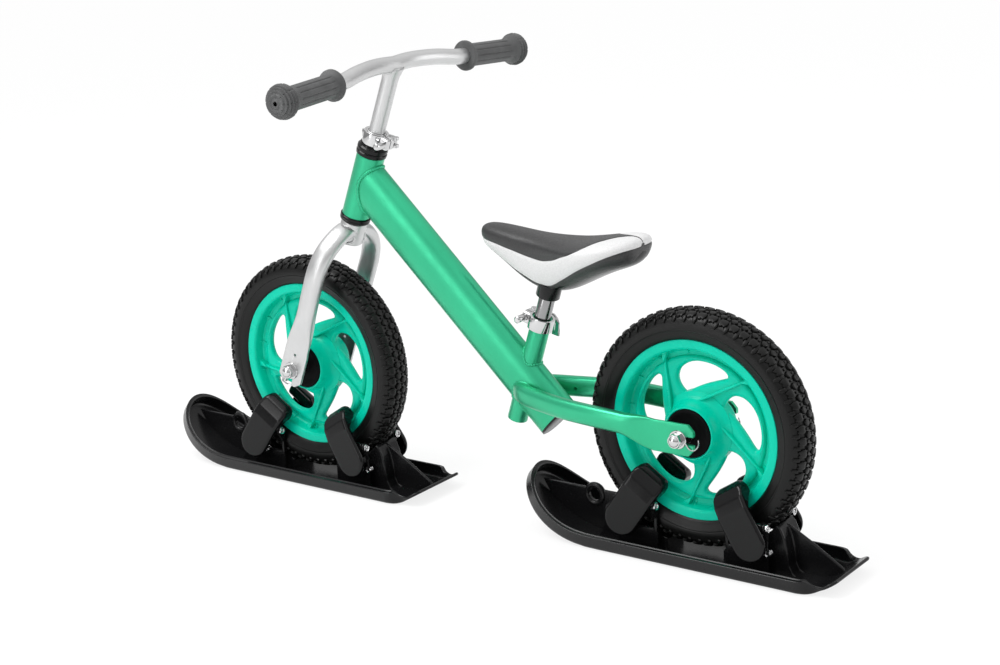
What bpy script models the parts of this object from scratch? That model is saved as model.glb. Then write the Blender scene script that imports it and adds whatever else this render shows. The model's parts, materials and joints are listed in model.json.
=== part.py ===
"""Balance bike with clip-on skis.

A child's running bike whose two turbine wheels stand on short skis.  Each ski is a moulded pan
with a chock before and behind the tyre, and four hinged clamp arms that press on the rim.
+X is forward, +Y is the rider's left and +Z is up, in metres.  The ground is z = 0 and the
origin lies under the middle of the bike.  Run with: blender --background --python part.py
"""
import math

import bmesh
import bpy
from mathutils import Matrix, Vector
from mathutils.geometry import interpolate_bezier

# Clearances
SEAT_GAP = 0.0003
RUNNING_GAP = 0.0005

# Wheels
WHEEL_SEGMENTS = 42
WHEELBASE = 0.594
TYRE_RADIUS = 0.145
TYRE_HALF_WIDTH = 0.0235
RIM_RADIUS = 0.1100
RIM_SEAT_RADIUS = 0.104
RIM_HALF_WIDTH = 0.0174
RIM_LIP_WIDTH = 0.0115
RIM_CHANNEL_DEPTH = 0.0070
HUB_RADIUS = 0.032
HUB_HALF_WIDTH = 0.0195
HUB_BORE_RADIUS = 0.0085
WEB_HALF_THICKNESS = 0.0065
SPOKE_COUNT = 5
OPENING_INNER_RADIUS = 0.0445
OPENING_OUTER_RADIUS = 0.0825
OPENING_START = math.radians(70.0)
OPENING_SWEEP = math.radians(49.5)
RIB_THICKNESS = 0.0026
RIB_START_ANGLE = math.radians(61.5)
RIB_END_ANGLE = math.radians(135.0)
RIB_END_RADIUS = 0.0955
RIB_HALF_HEIGHT = 0.0105
HUB_CAP_RADIUS = 0.0300
HUB_CAP_THICKNESS = 0.0110
AXLE_RADIUS = 0.0048
LOCKNUT_RADIUS = 0.0100
AXLE_END = 0.0655
NUT_ACROSS_CORNERS = 0.0180
NUT_THICKNESS = 0.0085
WASHER_RADIUS = 0.0112
WASHER_THICKNESS = 0.0016

# Dropout plates, the same on the fork and on the stays
DROPOUT_INNER_FACE = 0.0480
DROPOUT_THICKNESS = 0.0050
DROPOUT_HALF_HEIGHT = 0.0190
DROPOUT_BEYOND_AXLE = 0.0200

# Steering: heights run along the steering axis, from the point abreast of the front axle
HEAD_ANGLE = math.radians(68.6)
FORK_OFFSET = 0.003
CROWN_HEIGHT = 0.2170
CROWN_LENGTH = 0.0300
CROWN_RADIUS = 0.0170
LOWER_CUP_LENGTH = 0.0080
HEAD_TUBE_LENGTH = 0.0868
UPPER_CUP_LENGTH = 0.0150
CUP_RADIUS = 0.0200
HEAD_TUBE_RADIUS = 0.0183
HEAD_TUBE_BORE = 0.0150
STEERER_RADIUS = 0.0127
STEERER_ABOVE_CUP = 0.0175
STEM_RADIUS = 0.0105
STEM_WALL = 0.0020
STEM_INSERTION = 0.0860
BAR_HEIGHT = 0.4372
FORK_LEG_SPREAD = 0.0550
FORK_LEG_DEPTH = 0.0275
FORK_LEG_WIDTH = 0.0175

# Handlebar
BAR_RADIUS = 0.0102
BAR_HALF_LENGTH = 0.2340
BAR_BEND_HALF = 0.1250
BAR_BEND_BACK = 0.0115
BAR_BEND_DROP = 0.0062
BAR_SWEEP = math.radians(4.2)
BAR_FALL = math.radians(2.4)
GRIP_LENGTH = 0.1130
GRIP_RADIUS = 0.0148
GRIP_FLANGE_RADIUS = 0.0195
GRIP_END_RADIUS = 0.0205
GRIP_END_WALL = 0.0075

# Frame
DOWN_TUBE_FOOT_GAP = 0.0581
DOWN_TUBE_FOOT_DROP = 0.0203
DOWN_TUBE_HALF_HEIGHT = 0.0310
DOWN_TUBE_HALF_WIDTH = 0.0180
DOWN_TUBE_WALL = 0.0020
DOWN_TUBE_ABOVE_MIDDLE = 0.0080
END_PLUG_DEPTH = 0.0120
SEAT_ANGLE = math.radians(72.0)
SEAT_TUBE_STATION = 0.0625
SEAT_TUBE_ABOVE = 0.0860
SEAT_TUBE_BELOW = 0.0560
SEAT_TUBE_RADIUS = 0.0127
SEAT_POST_RADIUS = 0.0102
SEAT_POST_INSERTION = 0.0820
STAY_JOINT_BEYOND = 0.0529
STAY_RISE = 0.0115
STAY_HALF_HEIGHT = 0.0130
STAY_HALF_WIDTH = 0.0085
STAY_SPREAD = 0.0530
CLAMP_WALL = 0.0030
CLAMP_HEIGHT = 0.0160
CLAMP_SLIT = 0.0016
CLAMP_BOLT_RADIUS = 0.0025
CLAMP_BOLT_REACH = 0.0205
CLAMP_EAR_FACE = 0.0078
LEVER_THICKNESS = 0.0036
LEVER_HINGE_OFFSET = 0.0140
LEVER_HALF_HEIGHT = 0.0066
STEM_LEVER_TURN = math.radians(16.0)

# Saddle: lengths and heights run from the top of its post
SADDLE_TOP = 0.0649
SADDLE_NOSE_X = 0.0937
SADDLE_TAIL_X = -0.1338
SADDLE_NOSE_HALF_WIDTH = 0.0240
SADDLE_TAIL_HALF_WIDTH = 0.0580
SADDLE_TAIL_RISE = 0.0135
SADDLE_NOSE_RISE = 0.0045
SADDLE_END_DEPTH = 0.0330
SADDLE_HULL_DROP = 0.0380
SADDLE_SOCKET_FOOT = 0.1160
SADDLE_SOCKET_DEPTH = 0.0160
SADDLE_SOCKET_RADIUS = 0.0150
SEAM_ABOVE_HULL = 0.0100

# Skis: lengths run from the axle
SKI_WALL = 0.0040
SKI_HALF_WIDTH = 0.0575
SKI_FLANGE_HEIGHT = 0.0170
SKI_FLANGE_LEAN = math.radians(10.0)
SKI_FILLET = 0.0045
SKI_SOLE_FRONT = 0.1250
SKI_SOLE_REAR = 0.1590
SKI_NOSE_RADIUS = 0.1480
SKI_NOSE_ANGLE = math.radians(59.5)
SKI_TAIL_BEND_RADIUS = 0.0300
SKI_TAIL_ANGLE = math.radians(37.0)
SKI_TAIL_LENGTH = 0.0480
SKI_TIP_HALF_WIDTH = 0.0130
SKI_TAIL_HALF_WIDTH = 0.0400
CRADLE_HEIGHT = 0.0097
CRADLE_STATION = 0.0420
CHOCK_HALF_WIDTH = 0.0200
CHOCK_HEIGHT = 0.0650
CHOCK_FIN_HALF_WIDTH = 0.0040
TOW_EYE_RADIUS = 0.0150
TOW_EYE_HOLE = 0.0080
TOW_EYE_THICKNESS = 0.0080
TOW_EYE_REACH = 0.1520
TOW_EYE_HEIGHT = 0.0480

# Clamp arms: the pin lies along X, the arm leans towards the axle
ARM_PIN_REACH = 0.0745
ARM_PIN_OFFSET = 0.0325
ARM_PIN_HEIGHT = 0.0620
ARM_PIN_RADIUS = 0.0025
ARM_LEAN = math.radians(33.0)
ARM_HALF_WIDTH = 0.0200
ARM_BELOW_PIN = 0.0440
ARM_ABOVE_PIN = 0.0490
ARM_OUTER_LOW = 0.0500
ARM_OUTER_HIGH = 0.0455
ARM_BEND_START = 0.0180
ARM_WALL = 0.0030
ARM_FLANGE = 0.0075
ARM_KNUCKLE_RADIUS = 0.0056
ARM_KNUCKLE_HALF_LENGTH = 0.0235
EAR_THICKNESS = 0.0040

# Values that follow from the ones above
AXLE_HEIGHT = SKI_WALL + CRADLE_HEIGHT + TYRE_RADIUS + SEAT_GAP
NOSE_REACH = SKI_SOLE_FRONT + SKI_NOSE_RADIUS * math.sin(SKI_NOSE_ANGLE)
TAIL_REACH = (SKI_SOLE_REAR + SKI_TAIL_BEND_RADIUS * math.sin(SKI_TAIL_ANGLE)
              + SKI_TAIL_LENGTH * math.cos(SKI_TAIL_ANGLE))
REAR_AXLE_X = -(WHEELBASE + NOSE_REACH - TAIL_REACH) / 2
HUB_CAP_FACE = HUB_HALF_WIDTH + SEAT_GAP + HUB_CAP_THICKNESS
DROPOUT_MIDDLE = DROPOUT_INNER_FACE + DROPOUT_THICKNESS / 2
DROPOUT_OUTER_FACE = DROPOUT_INNER_FACE + DROPOUT_THICKNESS
HEAD_BOTTOM = CROWN_HEIGHT + SEAT_GAP + LOWER_CUP_LENGTH + SEAT_GAP
HEAD_TOP = HEAD_BOTTOM + HEAD_TUBE_LENGTH
UPPER_CUP_TOP = HEAD_TOP + SEAT_GAP + UPPER_CUP_LENGTH
STEERER_TOP = UPPER_CUP_TOP + STEERER_ABOVE_CUP
STEM_FOOT = STEERER_TOP - STEM_INSERTION
SEAT_TUBE_BORE = SEAT_POST_RADIUS + RUNNING_GAP
STEERER_BORE = STEM_RADIUS + RUNNING_GAP

LEVER_CAM_RADIUS = LEVER_HINGE_OFFSET - CLAMP_EAR_FACE - RUNNING_GAP
SEAT_CLAMP_HEIGHT = SEAT_TUBE_ABOVE - 0.002 - CLAMP_HEIGHT / 2 + 0.004
SEAT_POST_FOOT = SEAT_TUBE_ABOVE - SEAT_POST_INSERTION
SEAT_POST_TOP = SADDLE_SOCKET_FOOT + SADDLE_SOCKET_DEPTH
PIN_BORE_RADIUS = ARM_PIN_RADIUS + SEAT_GAP
STEERING_TILT = math.pi / 2 - HEAD_ANGLE
REAR_WHEEL_PLACE = Matrix.Translation((REAR_AXLE_X, 0, AXLE_HEIGHT))
FRONT_WHEEL_PLACE = Matrix.Translation((REAR_AXLE_X + WHEELBASE, 0, AXLE_HEIGHT))
STEERING_PLACE = (FRONT_WHEEL_PLACE @ Matrix.Rotation(-STEERING_TILT, 4, "Y")
                  @ Matrix.Translation((-FORK_OFFSET, 0, 0)))
HEAD_PLACE = STEERING_PLACE @ Matrix.Translation((0, 0, (HEAD_BOTTOM + HEAD_TOP) / 2))
HEAD_JOINT = HEAD_PLACE @ Vector((0, 0, DOWN_TUBE_ABOVE_MIDDLE))
STEM_BAR_PLACE = (Matrix.Translation((0, 0, BAR_HEIGHT))
                  @ Matrix.Rotation(STEERING_TILT, 4, "Y"))
BAR_END_DIRECTION = Vector((-math.tan(BAR_SWEEP), 1, -math.tan(BAR_FALL))).normalized()
DOWN_TUBE_REACH = TYRE_RADIUS + DOWN_TUBE_FOOT_GAP
DOWN_TUBE_END = REAR_WHEEL_PLACE @ Vector((DOWN_TUBE_REACH, 0, -DOWN_TUBE_FOOT_DROP))
DOWN_TUBE_LENGTH = (HEAD_JOINT - DOWN_TUBE_END).length
DOWN_TUBE_DIRECTION = (HEAD_JOINT - DOWN_TUBE_END).normalized()
SEAT_JOINT = DOWN_TUBE_END + SEAT_TUBE_STATION * DOWN_TUBE_DIRECTION
SEAT_PLACE = Matrix.Translation(SEAT_JOINT) @ Matrix.Rotation(SEAT_ANGLE - math.pi / 2, 4, "Y")
SADDLE_PLACE = Matrix.Translation(SEAT_PLACE @ Vector((0, 0, SEAT_POST_TOP)))

# Rotations that turn a flat outline or a turned piece to its place
AXIS_TO_Y = Matrix.Rotation(math.radians(-90), 4, "X")
AXIS_TO_X = Matrix.Rotation(math.radians(90), 4, "Y")
OUTLINE_TO_XZ = Matrix.Rotation(math.radians(90), 4, "X")
OUTLINE_TO_YZ = Matrix(((0, 0, 1, 0), (1, 0, 0, 0), (0, 1, 0, 0), (0, 0, 0, 1)))
MIRROR_X = Matrix.Scale(-1, 4, (1, 0, 0))
MIRROR_Y = Matrix.Scale(-1, 4, (0, 1, 0))
MIRROR_Z = Matrix.Scale(-1, 4, (0, 0, 1))

for old in list(bpy.data.objects):
    bpy.data.objects.remove(old)

PARTS = bpy.data.collections.new("balance_bike_with_skis")
bpy.context.scene.collection.children.link(PARTS)


def material(name, colour, roughness, metallic=0.0):
    """A plain Principled material."""
    made = bpy.data.materials.new(name)
    made.use_nodes = True
    shader = made.node_tree.nodes["Principled BSDF"]
    shader.inputs["Base Color"].default_value = (*colour, 1)
    shader.inputs["Roughness"].default_value = roughness
    shader.inputs["Metallic"].default_value = metallic
    made.diffuse_color = (*colour, 1)
    return made


def evaluated(obj):
    """The mesh of an object with its modifiers, in the object's own frame; the object goes."""
    bpy.context.scene.collection.objects.link(obj)
    graph = bpy.context.evaluated_depsgraph_get()
    mesh = bpy.data.meshes.new_from_object(obj.evaluated_get(graph))
    bpy.data.objects.remove(obj)
    return mesh


def welded(mesh, distance=0.000001):
    """The mesh with its loose caps joined on and its faces pointing out."""
    bm = bmesh.new()
    bm.from_mesh(mesh)
    bmesh.ops.remove_doubles(bm, verts=bm.verts, dist=distance)
    bmesh.ops.recalc_face_normals(bm, faces=bm.faces)
    bm.to_mesh(mesh)
    bm.free()
    return mesh


def moved(mesh, matrix):
    """A copy of the mesh moved by the matrix, with its faces kept outward under a mirror."""
    copy = mesh.copy()
    copy.transform(matrix)
    if matrix.determinant() < 0:
        copy.flip_normals()
    return copy


def plate(outlines, thickness, smooth=False):
    """A flat outline with optional holes, centred on the XY plane."""
    curve = bpy.data.curves.new("outline", "CURVE")
    curve.dimensions = "2D"
    curve.fill_mode = "BOTH"
    curve.extrude = thickness / 2
    curve.resolution_u = 2
    for outline in outlines:
        if smooth:
            spline = curve.splines.new("BEZIER")
            spline.bezier_points.add(len(outline) - 1)
            for point, place in zip(spline.bezier_points, outline):
                point.co = (place[0], place[1], 0)
                point.handle_left_type = "AUTO"
                point.handle_right_type = "AUTO"
        else:
            spline = curve.splines.new("POLY")
            spline.points.add(len(outline) - 1)
            for point, place in zip(spline.points, outline):
                point.co = (place[0], place[1], 0, 1)
        spline.use_cyclic_u = True
    return welded(evaluated(bpy.data.objects.new("outline", curve)))


def turned(profile, segments, closed=False):
    """A profile of radius and height, top to bottom down its outer side, turned about Z."""
    mesh = bpy.data.meshes.new("turned")
    count = len(profile)
    edges = [(i, (i + 1) % count) for i in range(count if closed else count - 1)]
    mesh.from_pydata([(radius, 0, height) for radius, height in profile], edges, [])
    obj = bpy.data.objects.new("turned", mesh)
    screw = obj.modifiers.new("turn", "SCREW")
    screw.steps = segments
    screw.render_steps = segments
    screw.use_merge_vertices = True
    screw.merge_threshold = 0.00001
    return welded(evaluated(obj))


def rod(radius, length, segments=24, bore=0.0):
    """A cylinder or a tube along Z, centred on the origin."""
    half = length / 2
    if bore:
        ring = [(radius, half), (radius, -half), (bore, -half), (bore, half)]
        return turned(ring, segments, closed=True)
    return turned([(0, half), (radius, half), (radius, -half), (0, -half)], segments)


def block(size, centre):
    """A box of the given size about its centre."""
    bm = bmesh.new()
    bmesh.ops.create_cube(bm, size=1)
    bmesh.ops.scale(bm, vec=size, verts=bm.verts)
    bmesh.ops.translate(bm, vec=centre, verts=bm.verts)
    mesh = bpy.data.meshes.new("block")
    bm.to_mesh(mesh)
    bm.free()
    return mesh


def round_tube(points, radius, resolution=4):
    """A solid round bar along a list of points."""
    curve = bpy.data.curves.new("bar", "CURVE")
    curve.dimensions = "3D"
    curve.bevel_depth = radius
    curve.bevel_resolution = resolution
    curve.use_fill_caps = True
    spline = curve.splines.new("POLY")
    spline.points.add(len(points) - 1)
    for point, place in zip(spline.points, points):
        point.co = (*place, 1)
    return welded(evaluated(bpy.data.objects.new("bar", curve)))


def combined(mesh, other, operation):
    """The exact union, difference or intersection of two closed meshes."""
    target = bpy.data.objects.new("target", mesh)
    cutter = bpy.data.objects.new("cutter", other)
    bpy.context.scene.collection.objects.link(cutter)
    change = target.modifiers.new("change", "BOOLEAN")
    change.solver = "EXACT"
    change.operation = operation
    change.object = cutter
    result = evaluated(target)
    bpy.data.objects.remove(cutter)
    return result


def union(mesh, *others):
    """All the meshes as one body."""
    for other in others:
        mesh = combined(mesh, other, "UNION")
    return mesh


def cut(mesh, *others):
    """The first mesh with the others taken away."""
    for other in others:
        mesh = combined(mesh, other, "DIFFERENCE")
    return mesh


def bevelled(mesh, width, segments=2, angle=40):
    """The mesh with its sharp edges rounded."""
    obj = bpy.data.objects.new("bevelled", mesh)
    bevel = obj.modifiers.new("round", "BEVEL")
    bevel.width = width
    bevel.segments = segments
    bevel.limit_method = "ANGLE"
    bevel.angle_limit = math.radians(angle)
    bevel.use_clamp_overlap = True
    return evaluated(obj)


def superellipse(half_first, half_second, power, count):
    """Points round a closed section, from an ellipse at power 2 towards a rectangle."""
    points = []
    for index in range(count):
        angle = 2 * math.pi * (index + 0.5) / count
        first = math.copysign(abs(math.cos(angle)) ** (2 / power), math.cos(angle))
        second = math.copysign(abs(math.sin(angle)) ** (2 / power), math.sin(angle))
        points.append((half_first * first, half_second * second))
    return points


def loft(rings):
    """A closed body through rings of equally many points, with flat ends."""
    bm = bmesh.new()
    rows = [[bm.verts.new(point) for point in ring] for ring in rings]
    count = len(rows[0])
    for one, two in zip(rows, rows[1:]):
        for index in range(count):
            after = (index + 1) % count
            bm.faces.new((one[index], one[after], two[after], two[index]))
    bm.faces.new(rows[0])
    bm.faces.new(rows[-1])
    bmesh.ops.recalc_face_normals(bm, faces=bm.faces)
    mesh = bpy.data.meshes.new("loft")
    bm.to_mesh(mesh)
    bm.free()
    return mesh


def swept(path, sections, first_axis, count=20):
    """Sections (half sizes and power) along a path; the first half size lies along first_axis."""
    rings = []
    last = len(path) - 1
    for index, (place, section) in enumerate(zip(path, sections)):
        along = (path[min(index + 1, last)] - path[max(index - 1, 0)]).normalized()
        first = (first_axis - first_axis.dot(along) * along).normalized()
        second = along.cross(first)
        outline = superellipse(*section, count)
        rings.append([place + a * first + b * second for a, b in outline])
    return loft(rings)


def curve_through(knots, steps):
    """Points on a smooth curve through the knots."""
    points = []
    for index in range(len(knots) - 1):
        start, end = knots[index], knots[index + 1]
        before = knots[index - 1] if index else start
        after = knots[index + 2] if index + 2 < len(knots) else end
        handle_start = start + (end - before) / 6
        handle_end = end - (after - start) / 6
        points.extend(interpolate_bezier(start, handle_start, handle_end, end, steps + 1)[:-1])
    points.append(knots[-1])
    return [Vector(point) for point in points]


def blend(start, end, share):
    """A value between start and end that leaves and arrives level."""
    share = min(max(share, 0.0), 1.0)
    share = share * share * (3 - 2 * share)
    return start + (end - start) * share


def part(name, mesh, look, parent, matrix=None, sharp=35):
    """One named piece under its joint's empty, shaded smooth but for its sharp edges."""
    mesh.materials.clear()
    own = look.copy()
    own.name = name
    mesh.materials.append(own)
    mesh.name = name
    mesh.shade_smooth()
    mesh.set_sharp_from_angle(angle=math.radians(sharp))
    obj = bpy.data.objects.new(name, mesh)
    PARTS.objects.link(obj)
    obj.parent = parent
    obj.matrix_local = matrix or Matrix.Identity(4)
    return obj


class Place:
    """An empty with its world matrix kept beside it."""

    def __init__(self, name, world, parent=None):
        self.world = world.copy()
        self.empty = bpy.data.objects.new(name, None)
        self.empty.empty_display_size = 0.03
        PARTS.objects.link(self.empty)
        if parent:
            self.empty.parent = parent.empty
            self.empty.matrix_local = parent.world.inverted() @ world
        else:
            self.empty.matrix_local = world


def axis_place(origin, direction):
    """A matrix whose Z axis points along the direction from the origin."""
    return Matrix.Translation(origin) @ direction.to_track_quat("Z", "Y").to_matrix().to_4x4()


def polar(radius, angle):
    """A point in the wheel's plane; the angle runs from +X towards +Z."""
    return radius * math.cos(angle), radius * math.sin(angle)


def mirrored_profile(half):
    """A closed profile from its half at positive height, from the inside outwards."""
    return half + [(radius, -height) for radius, height in reversed(half)]


# Wheel pieces, about the axle along Y

def rim_mesh():
    """The turbine wheel: rim, hub and five swept spokes, each with a raised rib on both faces."""
    lip = RIM_RADIUS - RIM_LIP_WIDTH
    half = [(HUB_BORE_RADIUS, HUB_HALF_WIDTH),
            (HUB_RADIUS, HUB_HALF_WIDTH),
            (HUB_RADIUS + 0.012, WEB_HALF_THICKNESS),
            (lip - 0.002, RIM_HALF_WIDTH - RIM_CHANNEL_DEPTH),
            (lip, RIM_HALF_WIDTH - 0.0018),
            (RIM_RADIUS, RIM_HALF_WIDTH),
            (RIM_SEAT_RADIUS, RIM_HALF_WIDTH - 0.0044)]
    body = turned(mirrored_profile(half), WHEEL_SEGMENTS, closed=True)
    middle = (OPENING_INNER_RADIUS + OPENING_OUTER_RADIUS) / 2
    outlines = []
    ribs = []
    for index in range(SPOKE_COUNT):
        turn = 2 * math.pi * index / SPOKE_COUNT
        start = OPENING_START + turn
        outlines.append([polar(OPENING_INNER_RADIUS, start),
                         polar(middle - 0.003, start - math.radians(4.5)),
                         polar(OPENING_OUTER_RADIUS - 0.004, start + math.radians(2.5)),
                         polar(OPENING_OUTER_RADIUS, start + 0.5 * OPENING_SWEEP),
                         polar(OPENING_OUTER_RADIUS - 0.004, start + OPENING_SWEEP),
                         polar(middle - 0.005, start + 0.55 * OPENING_SWEEP)])
        foot = Vector((*polar(HUB_RADIUS - 0.002, RIB_START_ANGLE + turn), 0))
        head = Vector((*polar(RIB_END_RADIUS, RIB_END_ANGLE + turn), 0))
        reach = (head - foot).length
        along = Vector(((head - foot).x, 0, (head - foot).y)).normalized()
        side = [(0, HUB_HALF_WIDTH - 0.001), (0.30 * reach, RIB_HALF_HEIGHT + 0.002),
                (reach, RIB_HALF_HEIGHT)]
        side += [(length, -height) for length, height in reversed(side)]
        place = Matrix(((along.x, 0, -along.z, foot.x), (0, 1, 0, 0),
                        (along.z, 0, along.x, foot.y), (0, 0, 0, 1)))
        ribs.append(moved(plate([side], RIB_THICKNESS), place))
    holes = moved(plate(outlines, 4 * HUB_HALF_WIDTH, smooth=True), OUTLINE_TO_XZ)
    body = cut(moved(body, AXIS_TO_Y), holes)
    return union(body, *ribs)


def tyre_mesh():
    """The foam tyre, seated between the rim's lips."""
    widest = RIM_RADIUS + 0.42 * (TYRE_RADIUS - RIM_RADIUS)
    half = [(RIM_SEAT_RADIUS + SEAT_GAP, RIM_HALF_WIDTH - 0.0044 - SEAT_GAP),
            (RIM_RADIUS + SEAT_GAP, RIM_HALF_WIDTH - SEAT_GAP),
            (RIM_RADIUS + 0.004, 0.5 * (RIM_HALF_WIDTH + TYRE_HALF_WIDTH) + 0.0006)]
    for step in range(3):
        angle = math.pi / 2 * step / 3
        half.append((widest + (TYRE_RADIUS - widest) * math.sin(angle) ** 0.8,
                     TYRE_HALF_WIDTH * math.cos(angle) ** 0.8))
    profile = half + [(TYRE_RADIUS, 0)] + [(radius, -height) for radius, height in reversed(half)]
    return moved(turned(profile, WHEEL_SEGMENTS, closed=True), AXIS_TO_Y)


def hub_cap_mesh():
    """The black hub cap on the left, which carries the wheel on its axle."""
    bore = AXLE_RADIUS + RUNNING_GAP
    base = HUB_HALF_WIDTH + SEAT_GAP
    profile = [(bore, HUB_CAP_FACE), (0.94 * HUB_CAP_RADIUS, HUB_CAP_FACE),
               (HUB_CAP_RADIUS, HUB_CAP_FACE - 0.0018), (HUB_CAP_RADIUS, base), (bore, base)]
    return moved(turned(profile, 24, closed=True), AXIS_TO_Y)


def axle_mesh():
    """The threaded axle with the locknuts that hold the dropouts apart."""
    half = [(0, AXLE_END), (AXLE_RADIUS, AXLE_END), (AXLE_RADIUS, DROPOUT_INNER_FACE - SEAT_GAP),
            (LOCKNUT_RADIUS, DROPOUT_INNER_FACE - SEAT_GAP),
            (LOCKNUT_RADIUS, HUB_CAP_FACE + RUNNING_GAP), (AXLE_RADIUS, HUB_CAP_FACE + RUNNING_GAP)]
    profile = half + [(radius, -height) for radius, height in reversed(half)]
    return moved(turned(profile, 12), AXIS_TO_Y)


def nut_mesh():
    """The left axle nut with its washer."""
    face = DROPOUT_OUTER_FACE + SEAT_GAP
    washer = moved(rod(WASHER_RADIUS, WASHER_THICKNESS, 14), Matrix.Translation(
        (0, 0, face + WASHER_THICKNESS / 2)))
    hexagon = moved(rod(NUT_ACROSS_CORNERS / 2, NUT_THICKNESS, 6), Matrix.Translation(
        (0, 0, face + WASHER_THICKNESS / 2 + NUT_THICKNESS / 2)))
    bore = moved(rod(AXLE_RADIUS + SEAT_GAP, 0.04, 12), Matrix.Translation((0, 0, face)))
    return moved(cut(union(washer, hexagon), bore), AXIS_TO_Y)


# Ski, about the axle it hangs below

def ski_point(station):
    """Place, slope and shares of nose and tail at a station along the sole.

    Stations run from -2 (tail tip) over -1 (bend), 0 (sole) to 1 (nose tip)."""
    if station > 0:
        slope = SKI_NOSE_ANGLE * station
        x = SKI_SOLE_FRONT + SKI_NOSE_RADIUS * math.sin(slope)
        return x, SKI_NOSE_RADIUS * (1 - math.cos(slope)), slope, station, 0
    bend = min(-station, 1.0)
    slope = SKI_TAIL_ANGLE * bend
    x = -SKI_SOLE_REAR - SKI_TAIL_BEND_RADIUS * math.sin(slope)
    z = SKI_TAIL_BEND_RADIUS * (1 - math.cos(slope))
    straight = max(-station - 1, 0) * SKI_TAIL_LENGTH
    x -= straight * math.cos(slope)
    z += straight * math.sin(slope)
    return x, z, -slope, 0, -station / 2


def ski_section(half_width, flange, fillet):
    """Across the pan, from the right flange's top over the floor to the left one's."""
    level = min(1.0, flange / SKI_FLANGE_HEIGHT)
    lean = math.tan(SKI_FLANGE_LEAN)
    side = [(half_width - fillet, 0),
            (half_width - 0.3 * fillet, 0.3 * fillet * level),
            (half_width + lean * fillet * level, fillet * level),
            (half_width + lean * flange, flange)]
    return [(-y, n) for y, n in reversed(side)] + side


def ski_pan_mesh():
    """The pan: sole, rolled sides, rising nose and tail, as one curved shell."""
    stations = [-2, -1.82, -1.5, -1, -0.66, -0.33]
    rows = [(station, None) for station in stations]
    rows += [(0, -SKI_SOLE_REAR), (0, SKI_SOLE_FRONT)]
    rows += [(math.sin(math.pi / 2 * step / 9), None) for step in range(1, 10)]
    bm = bmesh.new()
    grid = []
    for station, level_x in rows:
        x, z, slope, nose, tail = ski_point(station)
        if level_x is not None:
            x = level_x
        narrowing = max(0.0, (nose - 0.16) / 0.84)
        half = max(SKI_HALF_WIDTH * math.sqrt(1 - narrowing ** 2.2), SKI_TIP_HALF_WIDTH)
        end = blend(0, 1, (nose - 0.88) / 0.12)
        half -= (SKI_HALF_WIDTH - SKI_TAIL_HALF_WIDTH) * max(0.0, tail - 0.1) ** 1.6 / 0.85
        flange = blend(SKI_FLANGE_HEIGHT, 0.70 * SKI_FLANGE_HEIGHT, nose) * (1 - 0.45 * end)
        flange = blend(flange, 0.12 * SKI_FLANGE_HEIGHT, tail * 1.5)
        fillet = SKI_FILLET * min(1.0, 3 * half / SKI_HALF_WIDTH)
        row = []
        for y, lift in ski_section(half, flange, fillet):
            row.append(bm.verts.new((x - lift * math.sin(slope), y,
                                     z + lift * math.cos(slope) - AXLE_HEIGHT)))
        grid.append(row)
    for one, two in zip(grid, grid[1:]):
        for index in range(len(one) - 1):
            bm.faces.new((one[index], one[index + 1], two[index + 1], two[index]))
    mesh = bpy.data.meshes.new("pan")
    bm.to_mesh(mesh)
    bm.free()
    obj = bpy.data.objects.new("pan", mesh)
    wall = obj.modifiers.new("wall", "SOLIDIFY")
    wall.thickness = SKI_WALL
    wall.offset = -1
    wall.use_even_offset = True
    return evaluated(obj)


def ear_outline():
    """One ear that carries a clamp pin, seen along X, with its hole."""
    pin = ARM_PIN_HEIGHT - AXLE_HEIGHT
    foot = SKI_WALL / 2 - AXLE_HEIGHT
    radius = ARM_KNUCKLE_RADIUS - 0.0006
    inner = TYRE_HALF_WIDTH + 0.0012
    head = [(ARM_PIN_OFFSET + radius * math.cos(angle), pin + radius * math.sin(angle))
            for angle in (math.radians(40 * step - 20) for step in range(6))]
    outline = [(inner, foot), (inner + 0.0040, foot), (inner + 0.0040, pin - 0.0170)]
    outline += head + [(inner, pin - 0.0060)]
    hole = [(ARM_PIN_OFFSET + PIN_BORE_RADIUS * math.cos(2 * math.pi * step / 10),
             pin + PIN_BORE_RADIUS * math.sin(2 * math.pi * step / 10)) for step in range(10)]
    return [outline, hole]


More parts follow.
